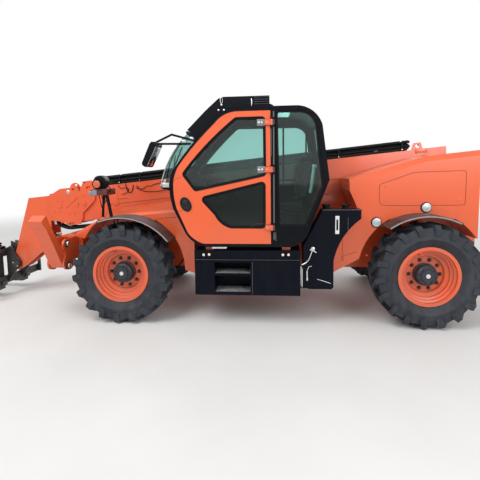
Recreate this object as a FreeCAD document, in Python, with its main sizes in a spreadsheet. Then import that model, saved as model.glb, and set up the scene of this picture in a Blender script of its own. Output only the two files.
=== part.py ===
import FreeCAD, Part
import math
import os
from types import SimpleNamespace

import Sketcher

# Telehandler with a three-section boom, four steered wheels and two front stabilizers.
# Millimetres. The machine looks along -X, its left side with the cab faces -Y, +Z is up.
# Places along X are measured from the middle of the wheelbase until the last step, which
# sets every piece over by `mid`, so that the origin is on the ground under the middle of
# the whole machine.

SIZES = {
    # running gear
    "wheelbase": 3450,
    "track": 1955,
    "tyre_radius": 587,
    "tyre_width": 405,
    "tread_depth": 36,
    "lug_pairs": 18,
    "lug_width": 50,
    "lug_sweep": 150,
    "tyre_belly": 112,
    "tyre_sides": 18,
    "rim_flange_radius": 330,
    "rim_seat_radius": 304,
    "rim_width": 332,
    "rim_wall": 9,
    "rim_disc_radius": 212,
    "rim_disc_wall": 16,
    "rim_bore": 118,
    "stud_circle": 335,
    "stud_bore": 24,
    "studs": 10,
    "hub_radius": 116,
    "hub_length": 128,
    "kingpin_inset": 178,
    "kingpin_radius": 30,
    "yoke_height": 330,
    "axle_tube_radius": 78,
    "diff_radius": 168,
    "diff_length": 380,
    "arch_radius": 704,
    "arch_inner": 430,
    "arch_flat_z": 1190,
    "mudguard_radius": 705,
    "mudguard_z": 545,
    "mudguard_shift": 25,
    "mudguard_wall": 12,
    "mudguard_edge": 1172,
    # chassis
    "plate_gap": 470,
    "plate_wall": 25,
    "chassis_front": 2440,
    "chassis_rear": 2330,
    "chassis_low": 480,
    "chassis_top": 1090,
    "axle_notch_top": 742,
    "axle_notch_half": 240,
    "tower_top": 1860,
    "tower_width": 380,
    "belly_wall": 20,
    "cross_wall": 30,
    # body panels
    "panel_side": 880,
    "cab_clearance": 10,
    "nose_front": 2480,
    "nose_side": 700,
    "nose_low": 960,
    "nose_edge": 1010,
    "nose_top": 1070,
    "brow_x": 1990,
    "brow_edge": 1245,
    "brow_top": 1290,
    "shoulder_end_x": 900,
    "shoulder_end_edge": 1330,
    "shoulder_end_top": 1450,
    "cover_front": 916,
    "cover_front_top": 1657,
    "cover_neck_z": 1527,
    "cover_knee_x": 1757,
    "cover_knee_top": 1898,
    "cover_rear_top": 1955,
    "cover_chin_x": 1005,
    "cover_chin_top": 1323,
    "cover_toe_x": 744,
    "cover_toe_low": 570,
    "cover_sill_x": 1169,
    "cover_sill_z": 804,
    "cover_bevel_in": 45,
    "cover_bevel_down": 62,
    # stabilizers
    "outrigger_front": 2720,
    "outrigger_rear": 2500,
    "outrigger_wall": 22,
    "outrigger_tip": 906,
    "outrigger_top_z": 960,
    "outrigger_bulge": 86,
    "outrigger_waist": 80,
    "outrigger_hip": 160,
    "leg_pin_y": 890,
    "leg_pin_z": 628,
    "leg_lock_z": 902,
    "leg_length": 700,
    "leg_raised": 58,
    "leg_width": 120,
    "leg_pin_radius": 32,
    # boom
    "boom_pivot_x": 2080,
    "boom_pivot_z": 1800,
    "boom_slope": 5.7,
    "boom_reach": 5105,
    "boom_tail": 190,
    "boom_width": 360,
    "boom_height": 460,
    "boom_wall": 12,
    "section_gap": 14,
    "section_wall": 10,
    "pad_clearance": 0.3,
    "collar_lead": 108,
    "collar_wall": 26,
    "collar_ear_radius": 78,
    "pad_boss_radius": 31,
    "pad_bolt_radius": 14,
    "mid_stick_out": 120,
    "boom_pin_radius": 55,
    "pipe_radius": 27,
    "pipe_y": 120,
    "head_reach": 5884,
    "head_drop": 749,
    "head_wall": 25,
    "head_half": 130,
    "head_pin_radius": 32,
    # cylinders
    "lift_base_x": 1690,
    "lift_base_z": 840,
    "lift_eye_along": 1750,
    "lift_eye_drop": 330,
    "lift_barrel_radius": 85,
    "lift_rod_radius": 50,
    "lift_pin_radius": 32,
    "lift_eye_radius": 60,
    "lift_eye_width": 84,
    "tilt_base_back": 560,
    "tilt_base_up": 345,
    "tilt_eye_front": 50,
    "tilt_eye_up": 225,
    "tilt_barrel_radius": 56,
    "tilt_rod_radius": 30,
    "tilt_pin_radius": 22,
    "tilt_eye_radius": 42,
    "tilt_eye_width": 60,
    # carriage and forks
    "carriage_width": 1250,
    "carriage_height": 510,
    "carriage_back": 150,
    "carriage_bar_wall": 35,
    "carriage_bar_height": 110,
    "fork_length": 1200,
    "fork_width": 130,
    "fork_wall": 50,
    "fork_spread": 520,
    "fork_floor": 110,
    "fork_shank": 640,
    # cab
    "cab_side": 1140,
    "cab_width": 870,
    "cab_wall": 42,
    "cab_skin": 55,
    "cab_bulge_x": 1112,
    "cab_bulge_z": 1600,
    "cab_floor_z": 913,
    "cab_top_z": 2446,
    "cab_toe_x": -690,
    "cab_toe_curve": 330,
    "cab_shin_x": -945,
    "cab_knee_x": -1075,
    "cab_belly_curve": 900,
    "cab_chest_curve": 420,
    "cab_brow_x": -1062,
    "cab_slope_curve": 3400,
    "cab_crown_x": -510,
    "cab_crown_curve": 230,
    "cab_nape_x": 300,
    "cab_nape_curve": 295,
    "cab_heel_x": 428,
    "cab_heel_curve": 260,
    "door_rim": 41,
    "door_foot_z": 945,
    "window_round": 42,
    "cab_rear_x": 654,
    "cab_rear_z": 1650,
    "pillar_x": 30,
    "door_gap": 6,
    "door_wall": 40,
    "glass_wall": 8,
    "hinge_radius": 14,
    "screen_reach": 110,
    "screen_curve": 1200,
    "screen_side": 50,
    "roof_rise": 120,
    "roof_rear_x": 12,
    "roof_inset": 45,
    "roof_groove": 8,
    "mirror_elbow_x": -1292,
    "mirror_elbow_z": 2075,
    "mirror_rod": 12,
    # inside the cab
    "seat_width": 480,
    "seat_pan_rise": 330,
    "seat_cushion_wall": 120,
    "seat_headroom": 468,
    "dash_width": 460,
    "dash_rise": 520,
    "wheel_x": -600,
    "wheel_rim_radius": 190,
    "wheel_rim_wall": 16,
    # step box and tank
    "step_front_x": 845,
    "step_rear_x": 345,
    "step_low_z": 360,
    "step_top_z": 872,
    "step_side": 1143,
    "step_depth": 430,
    "recess_front_x": 619,
    "recess_rear_x": 211,
    "recess_low_z": 396,
    "recess_top_z": 738,
    "recess_depth": 240,
    "tread_z": 610,
    "tread_wall": 28,
    "tread_tooth": 16,
    "lip_z": 760,
    "lip_wall": 8,
    "tank_side": 1110,
    "tank_front_x": 374,
    "tank_foot_x": 710,
    "tank_low_z": 440,
    "tank_waist_z": 757,
    "tank_rear_x": 1001,
    "tank_lip_z": 1223,
    "tank_top_z": 1316,
    "tank_curve": 760,
    # engine side
    "hood_front_x": 885,
    "hood_rear_x": 725,
    "hood_inner": 330,
    "hood_outer": 1130,
    "hood_low_z": 700,
    "hood_top_z": 1430,
    "hood_wall": 14,
    "engine_length": 980,
    "engine_width": 520,
    "engine_height": 560,
    # rear
    "bumper_depth": 150,
    "bumper_half": 600,
    "bumper_low_z": 640,
    "bumper_top_z": 1120,
    "hitch_bore": 32,
    "lamp_y": 1000,
    "lamp_foot_x": -1850,
    "lamp_head_x": -1905,
    "lamp_shelf_z": 1575,
    "lamp_shelf_wall": 70,
    "lamp_post_radius": 19,
    "lamp_drum_radius": 78,
    "lamp_drum_half": 62,
    "lamp_lens_radius": 42,
    "hinge_pin_radius": 7,
}


class Size:
    """A dimension that carries its number and the sheet expression that it comes from."""

    def __init__(self, number, text):
        self.number = float(number)
        self.text = text

    def __float__(self):
        return self.number

    def joined(self, sign, other, number):
        return Size(number, "(%s %s %s)" % (self.text, sign, as_size(other).text))

    def __add__(self, other):
        return self.joined("+", other, self.number + float(other))

    def __radd__(self, other):
        return as_size(other) + self

    def __sub__(self, other):
        return self.joined("-", other, self.number - float(other))

    def __rsub__(self, other):
        return as_size(other) - self

    def __mul__(self, other):
        return self.joined("*", other, self.number * float(other))

    def __rmul__(self, other):
        return as_size(other) * self

    def __truediv__(self, other):
        return self.joined("/", other, self.number / float(other))

    def __neg__(self):
        return Size(-self.number, "(0 - %s)" % self.text)


def as_size(value):
    return value if isinstance(value, Size) else Size(value, repr(float(value)))


def cosine(angle):
    return Size(math.cos(math.radians(float(angle))), "cos(%s)" % as_size(angle).text)


def sine(angle):
    return Size(math.sin(math.radians(float(angle))), "sin(%s)" % as_size(angle).text)


def root(value):
    return Size(math.sqrt(float(value)), "sqrt(%s)" % as_size(value).text)


def heading(rise, run):
    """Angle of a line with this rise and this run, in degrees."""
    number = math.degrees(math.atan2(float(rise), float(run)))
    return Size(number, "atan2(%s; %s)" % (as_size(rise).text, as_size(run).text))


doc = FreeCAD.newDocument("telehandler")
sheet = doc.addObject("Spreadsheet::Sheet", "Sizes")
for row, (alias, number) in enumerate(SIZES.items(), start=1):
    sheet.set("A%d" % row, alias)
    sheet.set("B%d" % row, str(number))
    sheet.setAlias("B%d" % row, alias)
doc.recompute()
S = SimpleNamespace(**{alias: Size(number, "Sizes." + alias) for alias, number in SIZES.items()})

Vector = FreeCAD.Vector
X_AXIS = Vector(1, 0, 0)
Y_AXIS = Vector(0, 1, 0)
Z_AXIS = Vector(0, 0, 1)
NODES = {}


def bind(thing, prop, value):
    thing.setExpression(prop, as_size(value).text)


def box(name, x0, x1, y0, y1, z0, z1):
    """A block between two corners."""
    block = doc.addObject("Part::Box", name)
    bind(block, "Length", as_size(x1) - x0)
    bind(block, "Width", as_size(y1) - y0)
    bind(block, "Height", as_size(z1) - z0)
    bind(block, "Placement.Base.x", x0)
    bind(block, "Placement.Base.y", y0)
    bind(block, "Placement.Base.z", z0)
    return block


def rod(name, axis, radius, start, end, a, b):
    """A round bar along one axis, with its centre at a, b on the other two."""
    bar = doc.addObject("Part::Cylinder", name)
    turns = {
        "x": FreeCAD.Rotation(Y_AXIS, 90),
        "y": FreeCAD.Rotation(X_AXIS, -90),
        "z": FreeCAD.Rotation(),
    }
    bar.Placement = FreeCAD.Placement(Vector(), turns[axis])
    places = {"x": (start, a, b), "y": (a, start, b), "z": (a, b, start)}
    bind(bar, "Radius", as_size(radius))
    bind(bar, "Height", as_size(end) - start)
    for letter, place in zip("xyz", places[axis]):
        bind(bar, "Placement.Base." + letter, place)
    return bar


def strut(name, radius, start, end, y):
    """A round bar between two points (x, z) of one lengthwise plane."""
    run = end[0] - start[0]
    rise = end[1] - start[1]
    bar = doc.addObject("Part::Cylinder", name)
    bind(bar, "Radius", radius)
    bind(bar, "Height", root(run * run + rise * rise))
    place(bar, start[0], y, start[1], heading(run, rise))
    return bar


def draw(body, name, plane, points, offset):
    """A closed sketch on one of the body's planes: corners (a, b) or (a, b, radius, side).

    A radius makes the edge from that corner to the next an arc, bulging to its left for
    side 1 and to its right for side -1.
    """
    roles = {"XZ": "XZ_Plane", "XY": "XY_Plane", "YZ": "YZ_Plane"}
    support = [item for item in body.Origin.OriginFeatures if item.Role == roles[plane]][0]
    sketch = body.newObject("Sketcher::SketchObject", name)
    sketch.AttachmentSupport = [(support, "")]
    sketch.MapMode = "FlatFace"
    bind(sketch, "AttachmentOffset.Base.z", offset)
    corners = [Vector(float(point[0]), float(point[1]), 0) for point in points]
    count = len(points)
    edges = []
    for index, point in enumerate(points):
        here = corners[index]
        there = corners[(index + 1) % count]
        if len(point) == 2:
            edges.append(Part.LineSegment(here, there))
            continue
        radius = float(point[2])
        chord = there - here
        left = Vector(-chord.y, chord.x, 0).normalize()
        rise = radius - math.sqrt(max(radius ** 2 - (chord.Length / 2) ** 2, 0))
        middle = (here + there) * 0.5 + left * (rise * point[3])
        edges.append(Part.Arc(here, middle, there))
    sketch.addGeometry(edges, False)
    ends = []
    for index, point in enumerate(points):
        flipped = len(point) > 2 and point[3] > 0
        ends.append((2, 1) if flipped else (1, 2))
    rules = []
    for index in range(count):
        following = (index + 1) % count
        rules.append(Sketcher.Constraint("Coincident", index, ends[index][1],
                                         following, ends[following][0]))
    driven = []
    for index, point in enumerate(points):
        for kind, value in (("DistanceX", point[0]), ("DistanceY", point[1])):
            driven.append((len(rules), value))
            rules.append(Sketcher.Constraint(kind, -1, 1, index, ends[index][0], float(value)))
        if len(point) > 2:
            driven.append((len(rules), point[2]))
            rules.append(Sketcher.Constraint("Radius", index, float(point[2])))
    sketch.addConstraint(rules)
    for place, value in driven:
        if isinstance(value, Size):
            sketch.setExpression("Constraints[%d]" % place, value.text)
    return sketch


def pad(name, plane, points, low, high):
    """A plate: a closed outline on a plane, from low to high along the third axis."""
    body = doc.addObject("PartDesign::Body", name)
    offset = -as_size(high) if plane == "XZ" else as_size(low)
    sketch = draw(body, name + "_outline", plane, points, offset)
    plate = body.newObject("PartDesign::Pad", name + "_pad")
    plate.Profile = sketch
    bind(plate, "Length", as_size(high) - low)
    return body


def turned(name, points):
    """A piece turned about Y: its half section as corners (y, radius)."""
    body = doc.addObject("PartDesign::Body", name)
    sketch = draw(body, name + "_section", "YZ", points, as_size(0))
    spun = body.newObject("PartDesign::Revolution", name + "_turn")
    spun.Profile = sketch
    spun.ReferenceAxis = (sketch, ["H_Axis"])
    spun.Angle = 360
    return body


def softened(body, radius, corners):
    """Rounds the edges of a plate that run square to the XZ plane through these corners."""
    doc.recompute()
    plate = body.Tip
    chosen = []
    for index, edge in enumerate(plate.Shape.Edges, start=1):
        ends = [vertex.Point for vertex in edge.Vertexes]
        if len(ends) < 2 or abs(ends[0].y - ends[1].y) < 0.5 or abs(ends[0].x - ends[1].x) > 0.5:
            continue
        for x, z in corners:
            if math.hypot(ends[0].x - float(x), ends[0].z - float(z)) < 1:
                chosen.append("Edge%d" % index)
    rounding = body.newObject("PartDesign::Fillet", body.Name + "_rounding")
    rounding.Base = (plate, chosen)
    bind(rounding, "Radius", radius)
    return body


def cut(name, base, *tools):
    piece = base
    for index, tool in enumerate(tools):
        result = doc.addObject("Part::Cut", name if index == len(tools) - 1 else "%s_%d" % (name, index))
        result.Base = piece
        result.Tool = tool
        piece = result
    return piece


def fuse(name, *pieces):
    joined = doc.addObject("Part::MultiFuse", name)
    joined.Shapes = list(pieces)
    joined.Refine = True
    return joined


def group(name, *pieces):
    """Several solids of one sub-part that don't touch."""
    kept = doc.addObject("Part::Compound", name)
    kept.Links = list(pieces)
    return kept


def common(name, base, tool):
    shared = doc.addObject("Part::Common", name)
    shared.Base = base
    shared.Tool = tool
    return shared


def mirrored(name, source):
    """The same piece on the other side of the machine."""
    twin = doc.addObject("Part::Mirroring", name)
    twin.Source = source
    twin.Normal = Y_AXIS
    return twin


def place(thing, x, y, z, pitch=None):
    if pitch is not None:
        thing.Placement = FreeCAD.Placement(Vector(), FreeCAD.Rotation(Y_AXIS, 1))
        bind(thing, "Placement.Rotation.Angle", pitch)
    for letter, value in zip("xyz", (x, y, z)):
        bind(thing, "Placement.Base." + letter, as_size(value))


def node(label, thing, x=None, y=0, z=0, pitch=None, placed=True):
    """Names a finished sub-part and puts it at its place in the machine."""
    if placed and thing.TypeId in ("Part::Box", "Part::Cylinder"):
        thing = group(label + "_piece", thing)
    if placed:
        place(thing, mid if x is None else x, y, z, pitch)
    thing.Label = label
    NODES[label] = thing
    return thing


# Places along the boom run from its pivot: along is towards the fork end, up is square to it.
def boom_x(along, up):
    return S.boom_pivot_x - along * cosine(S.boom_slope) - up * sine(S.boom_slope)


def boom_z(along, up):
    return S.boom_pivot_z - along * sine(S.boom_slope) + up * cosine(S.boom_slope)


head_x = boom_x(S.head_reach, -S.head_drop)
head_z = boom_z(S.head_reach, -S.head_drop)
fork_tip = head_x - S.carriage_back - S.carriage_bar_wall - S.fork_wall - S.fork_length
rear_end = S.chassis_rear + S.bumper_depth
mid = -(fork_tip + rear_end) / 2
axle_x = {"front": -S.wheelbase / 2, "rear": S.wheelbase / 2}
plate_half = S.plate_gap / 2


def flat_ring(section, sides):
    """A closed section (y, radius) carried round Y in flat steps."""
    rings = []
    for index in range(sides):
        turn = math.radians(360.0 * index / sides)
        rings.append([Vector(radius * math.sin(turn), y, radius * math.cos(turn))
                      for y, radius in section])
    faces = []
    for index, here in enumerate(rings):
        there = rings[(index + 1) % sides]
        for low in range(len(section)):
            high = (low + 1) % len(section)
            corners = [here[low], here[high], there[high], there[low]]
            faces.append(Part.Face(Part.makePolygon(corners + corners[:1])))
    return Part.Solid(Part.Shell(faces))


def tyre_shape(tread_side):
    """The tyre about its own centre: a carcass in flat steps and two rows of slanted lugs."""
    outer = float(S.tyre_radius)
    base = outer - float(S.tread_depth)
    half = float(S.tyre_width) / 2
    sides = int(float(S.tyre_sides))
    swell = 1 / math.cos(math.pi / sides)
    seat = (float(S.rim_seat_radius) + float(S.pad_clearance)) * swell
    bead = float(S.rim_width) / 2 - float(S.rim_wall) - float(S.pad_clearance)
    flange = (float(S.rim_flange_radius) + 1) * swell
    belly = seat + float(S.tyre_belly)
    shoulder = half * 0.86
    profile = [(bead, seat), (bead, flange), (half, belly), (shoulder, base - 10)]
    section = profile + [(-y, radius) for y, radius in reversed(profile)]
    carcass = flat_ring(section, sides)
    width = float(S.lug_width)
    sweep = float(S.lug_sweep)

    def crest(radius, offset):
        """Height over the lug's middle at which a point this far round lies at this radius."""
        return math.sqrt(radius ** 2 - (abs(offset) + width * 0.6) ** 2)

    crown = [
        (-20, base - 30), (-20, crest(outer, sweep / 2)), (half * 0.47, crest(outer - 2, 0)),
        (half * 0.93, crest(outer - 8, sweep * 0.43)), (half, crest(outer - 52, sweep / 2)),
        (half, belly + 38), (half * 0.9, belly + 28),
    ]
    corners = [Vector(-sweep * 2, a, b) for a, b in crown]
    ridge = Part.Face(Part.makePolygon(corners + corners[:1])).extrude(Vector(sweep * 4, 0, 0))
    foot = [
        (-width * 0.5, -12), (width * 0.5, -12), (sweep + width * 0.62, half + 20),
        (sweep - width * 0.62, half + 20),
    ]
    outline = [Vector(a - sweep / 2, b, seat) for a, b in foot]
    block = Part.Face(Part.makePolygon(outline + outline[:1])).extrude(Vector(0, 0, outer))
    lug = block.common(ridge)
    pitch = 360.0 / float(S.lug_pairs)
    pieces = [carcass]
    for index in range(int(float(S.lug_pairs))):
        left = lug.copy()
        left.rotate(Vector(), Y_AXIS, index * pitch)
        right = lug.mirror(Vector(), Y_AXIS)
        right.rotate(Vector(), Y_AXIS, (index + 0.5) * pitch)
        pieces += [left, right]
    tyre = pieces[0].multiFuse(pieces[1:])
    if tread_side < 0:
        tyre = tyre.mirror(Vector(), X_AXIS)
    return tyre


def make_wheels():
    flange = S.rim_flange_radius
    seat = S.rim_seat_radius
    half = S.rim_width / 2
    wall = S.rim_wall
    disc = S.rim_disc_radius
    section = [
        (-half, seat - wall), (-half, flange), (-half + wall, flange), (-half + wall, seat),
        (half - wall, seat), (half - wall, flange), (half, flange), (half, seat - wall),
        (half - 45, seat - wall), (half - 52, seat - wall - 20), (half - 84, seat - wall - 20),
        (half - 91, seat - wall - 42), (half - 122, seat - wall - 42), (half - 129, disc),
        (S.rim_disc_wall / 2, disc - 14), (S.rim_disc_wall / 2, S.rim_bore),
        (-S.rim_disc_wall / 2, S.rim_bore), (-S.rim_disc_wall / 2, disc),
        (-half + 70, seat - wall - 30), (-half + 40, seat - wall),
    ]
    blank = turned("rim_blank", section)
    stud = rod("stud_bore", "y", S.stud_bore / 2, -60, 60, 0, S.stud_circle / 2)
    doc.recompute()
    bores = doc.addObject("Part::Feature", "stud_bores")
    ring = []
    for index in range(int(float(S.studs))):
        bore = stud.Shape.copy()
        bore.rotate(Vector(), Y_AXIS, 360.0 * (index + 0.5) / float(S.studs))
        ring.append(bore)
    bores.Shape = Part.makeCompound(ring)
    rim_shape = cut("rim_master", blank, bores)
    reach = S.hub_length
    hub = turned("hub_master", [
        (-90, 0), (-90, S.rim_bore - 8), (-S.rim_disc_wall / 2, S.rim_bore - 8),
        (-S.rim_disc_wall / 2, S.rim_bore), (S.rim_disc_wall / 2, S.rim_bore),
        (S.rim_disc_wall / 2, S.hub_radius + 10), (34, S.hub_radius + 10), (40, S.hub_radius),
        (reach - 26, S.hub_radius - 4), (reach - 14, S.hub_radius - 18), (reach - 14, 74),
        (reach - 4, 70), (reach - 4, 26), (reach, 24), (reach, 0),
    ])
    doc.recompute()
    treads = {1: tyre_shape(1), -1: tyre_shape(-1)}
    masters = {"tyre": treads, "rim": rim_shape.Shape, "hub": hub.Shape}
    for end in ("front", "rear"):
        for side, sign in (("left", -1), ("right", 1)):
            for kind in ("tyre", "rim", "hub"):
                label = "%s_%s_%s" % (kind, end, side)
                wheel = doc.addObject("Part::Feature", label)
                shape = masters[kind]
                if kind == "tyre":
                    shape = shape[sign]
                shape = shape.copy()
                if sign < 0:
                    shape.rotate(Vector(), Z_AXIS, 180)
                wheel.Shape = shape
                node(label, wheel, mid + axle_x[end], sign * S.track / 2, S.tyre_radius)


def make_axles():
    """Steered axles: a turned housing with a yoke at each end, and a knuckle in each yoke."""
    pin_y = S.track / 2 - S.kingpin_inset
    for end in ("front", "rear"):
        tube = S.axle_tube_radius
        inner = pin_y - 100
        bulge = S.diff_length / 2
        housing = turned("axle_%s_housing" % end, [
            (-inner, 0), (-inner, tube), (-bulge - 90, tube + 14), (-bulge, S.diff_radius * 0.8),
            (-bulge + 90, S.diff_radius), (bulge - 90, S.diff_radius), (bulge, S.diff_radius * 0.8),
            (bulge + 90, tube + 14), (inner, tube), (inner, 0),
        ])
        parts = [housing]
        for side, sign in (("left", -1), ("right", 1)):
            yoke = pad("yoke_%s_%s" % (end, side), "YZ", [
                (sign * (pin_y - 160), -tube + 8), (sign * (pin_y - 160), tube - 8),
                (sign * (pin_y - 90), S.yoke_height / 2), (sign * (pin_y + 34), S.yoke_height / 2),
                (sign * (pin_y + 34), S.yoke_height / 2 - 36),
                (sign * (pin_y - 68), S.yoke_height / 2 - 36),
                (sign * (pin_y - 68), -S.yoke_height / 2 + 36),
                (sign * (pin_y + 34), -S.yoke_height / 2 + 36), (sign * (pin_y + 34), -S.yoke_height / 2),
                (sign * (pin_y - 90), -S.yoke_height / 2),
            ], as_size(-48), as_size(48))
            parts.append(yoke)
        beam = cut("axle_%s_beam" % end, fuse("axle_%s_joined" % end, *parts), *[
            rod("kingpin_bore_%s_%d" % (end, sign), "z", S.kingpin_radius + S.pad_clearance,
                -S.yoke_height, S.yoke_height, 0, sign * pin_y) for sign in (-1, 1)
        ])
        seats = [
            box("axle_%s_seat_%d" % (end, index), -110, 110, low, high, S.diff_radius * 0.3,
                S.axle_notch_top - S.tyre_radius)
            for index, (low, high) in enumerate((
                (-plate_half - S.plate_wall, -plate_half + 60), (plate_half - 60, plate_half + S.plate_wall)))
        ]
        whole = fuse("axle_%s_whole" % end, beam, *seats)
        node("axle_" + end, whole, mid + axle_x[end], 0, S.tyre_radius)
        for side, sign in (("left", -1), ("right", 1)):
            core = rod("knuckle_core_%s_%s" % (end, side), "z", 56, -S.yoke_height / 2 + 42,
                       S.yoke_height / 2 - 42, 0, 0)
            kingpin = rod("kingpin_%s_%s" % (end, side), "z", S.kingpin_radius, -S.yoke_height / 2 - 8,
                          S.yoke_height / 2 + 8, 0, 0)
            if sign > 0:
                spindle = rod("knuckle_spindle_%s_%s" % (end, side), "y", 88, as_size(20),
                              S.kingpin_inset - 90.5, 0, 0)
            else:
                spindle = rod("knuckle_spindle_%s_%s" % (end, side), "y", 88,
                              -S.kingpin_inset + 90.5, as_size(-20), 0, 0)
            arm = box("knuckle_arm_%s_%s" % (end, side), 0, 190, as_size(-24), as_size(24), -60, -30)
            knuckle = fuse("knuckle_whole_%s_%s" % (end, side), core, spindle, arm, kingpin)
            node("knuckle_%s_%s" % (end, side), knuckle, mid + axle_x[end],
                 sign * pin_y, S.tyre_radius)


def chassis_outline():
    front = -S.chassis_front
    rear = S.chassis_rear
    notch = S.axle_notch_half
    low = S.chassis_low
    top = S.chassis_top
    tower = S.boom_pivot_x
    return [
        (front, low + 90), (axle_x["front"] - notch - 100, low + 90),
        (axle_x["front"] - notch, S.axle_notch_top), (axle_x["front"] + notch, S.axle_notch_top),
        (axle_x["front"] + notch + 100, low), (axle_x["rear"] - notch - 100, low),
        (axle_x["rear"] - notch, S.axle_notch_top), (axle_x["rear"] + notch, S.axle_notch_top),
        (axle_x["rear"] + notch + 80, low + 140), (rear, low + 140), (rear, top + 60),
        (tower + S.tower_width / 2, S.tower_top, S.tower_width * 0.62, -1),
        (tower - S.tower_width / 2, S.tower_top), (tower - 620, top + 330),
        (S.cover_front - 330, top + 150), (axle_x["front"] + 300, top - 60), (front, top - 190),
    ]


def make_frame():
    outline = chassis_outline()
    left = pad("plate_left", "XZ", outline, -plate_half - S.plate_wall, -plate_half)
    right = pad("plate_right", "XZ", outline, plate_half, plate_half + S.plate_wall)
    belly = box("belly", axle_x["front"] + 360, axle_x["rear"] - 360, -plate_half, plate_half,
                S.chassis_low, S.chassis_low + S.belly_wall)
    nose = box("nose_box", -S.chassis_front, -S.chassis_front + 180, -plate_half, plate_half,
               S.chassis_low + 120, S.chassis_top - 210)
    tail = box("tail_wall", S.chassis_rear - S.cross_wall, S.chassis_rear, -plate_half, plate_half,
               S.chassis_low + 160, S.chassis_top)
    front_cross = box("front_cross", axle_x["front"] + 380, axle_x["front"] + 380 + S.cross_wall,
                      -plate_half, plate_half, S.chassis_low, S.chassis_top - 120)
    base_cross = box("base_cross", S.lift_base_x + 90, S.lift_base_x + 90 + S.cross_wall,
                     -plate_half, plate_half, S.axle_notch_top + 40, S.chassis_top - 60)
    ears = []
    inner = S.lift_eye_width / 2 + 6
    for name, low, high in (("a", inner, inner + 26), ("b", -inner - 26, -inner)):
        ears.append(pad("lift_ear_" + name, "XZ", [
            (S.lift_base_x + a, S.lift_base_z + b) for a, b in (
                (92, -45), (92, 45), (20, 58), (-20, 58), (-50, 35), (-61, 0), (-50, -35),
                (-20, -58), (20, -58))
        ], low, high))
    pin = rod("lift_base_pin", "y", S.lift_pin_radius, -inner - 40, inner + 40,
              S.lift_base_x, S.lift_base_z)
    bosses = [
        rod("tower_boss_left", "y", S.boom_pin_radius + 45, -plate_half - S.plate_wall,
            -S.boom_width / 2 - 8, S.boom_pivot_x, S.boom_pivot_z),
        rod("tower_boss_right", "y", S.boom_pin_radius + 45, S.boom_width / 2 + 8,
            plate_half + S.plate_wall, S.boom_pivot_x, S.boom_pivot_z),
    ]
    boom_pin = rod("boom_pin", "y", S.boom_pin_radius, -plate_half - S.plate_wall,
                   plate_half + S.plate_wall, S.boom_pivot_x, S.boom_pivot_z)
    arms = []
    for index, x in enumerate((-S.step_front_x + 120, S.step_rear_x - 200)):
        arms.append(box("cab_beam_%d" % index, x, x + 90, -S.cab_side + 60, -plate_half,
                        S.step_top_z, S.cab_floor_z))
        arms.append(box("engine_beam_%d" % index, x, x + 90, plate_half, S.hood_outer - 40,
                        S.hood_low_z - 90, S.hood_low_z - 20))
    arms.append(box("tank_beam", S.tank_front_x + 60, S.tank_front_x + 170, -S.panel_side,
                    -plate_half, S.tank_low_z + 60, S.tank_low_z + 160))
    rail = box("hood_rail", -S.hood_front_x, S.hood_rear_x, plate_half + S.plate_wall - 1,
               S.hood_inner - 8, S.chassis_low + 400, S.hood_top_z)
    for index, x in enumerate(hood_hinges()):
        y = S.hood_inner - 4
        z = S.hood_top_z + S.hinge_radius
        arms.append(rod("hood_pin_%d" % index, "x", S.hinge_pin_radius, x - 90, x + 90, y, z))
        for kind, low in (("front", x - 90), ("rear", x + 62)):
            arms.append(box("hood_lug_%s_%d" % (kind, index), low, low + 28, y - 40, y,
                            S.hood_top_z, z + S.hinge_radius - 2))
            arms.append(rod("hood_eye_%s_%d" % (kind, index), "x", S.hinge_radius - 2, low,
                            low + 28, y, z))
    whole = fuse("frame_whole", left, right, belly, nose, tail, front_cross, base_cross, pin,
                 boom_pin, rail, *(ears + bosses + arms))
    node("frame", whole)


def arch(name, centre):
    """The space that a steered wheel sweeps on the left side, flat over the tyre."""
    outer = -S.track / 2 - S.tyre_width
    ring = rod(name + "_ring", "y", S.arch_radius, outer, -S.arch_inner, centre, S.tyre_radius)
    under = box(name + "_under", centre - 900, centre + 900, outer - 10, -S.arch_inner + 10,
                -200, S.arch_flat_z)
    return common(name, ring, under)


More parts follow.
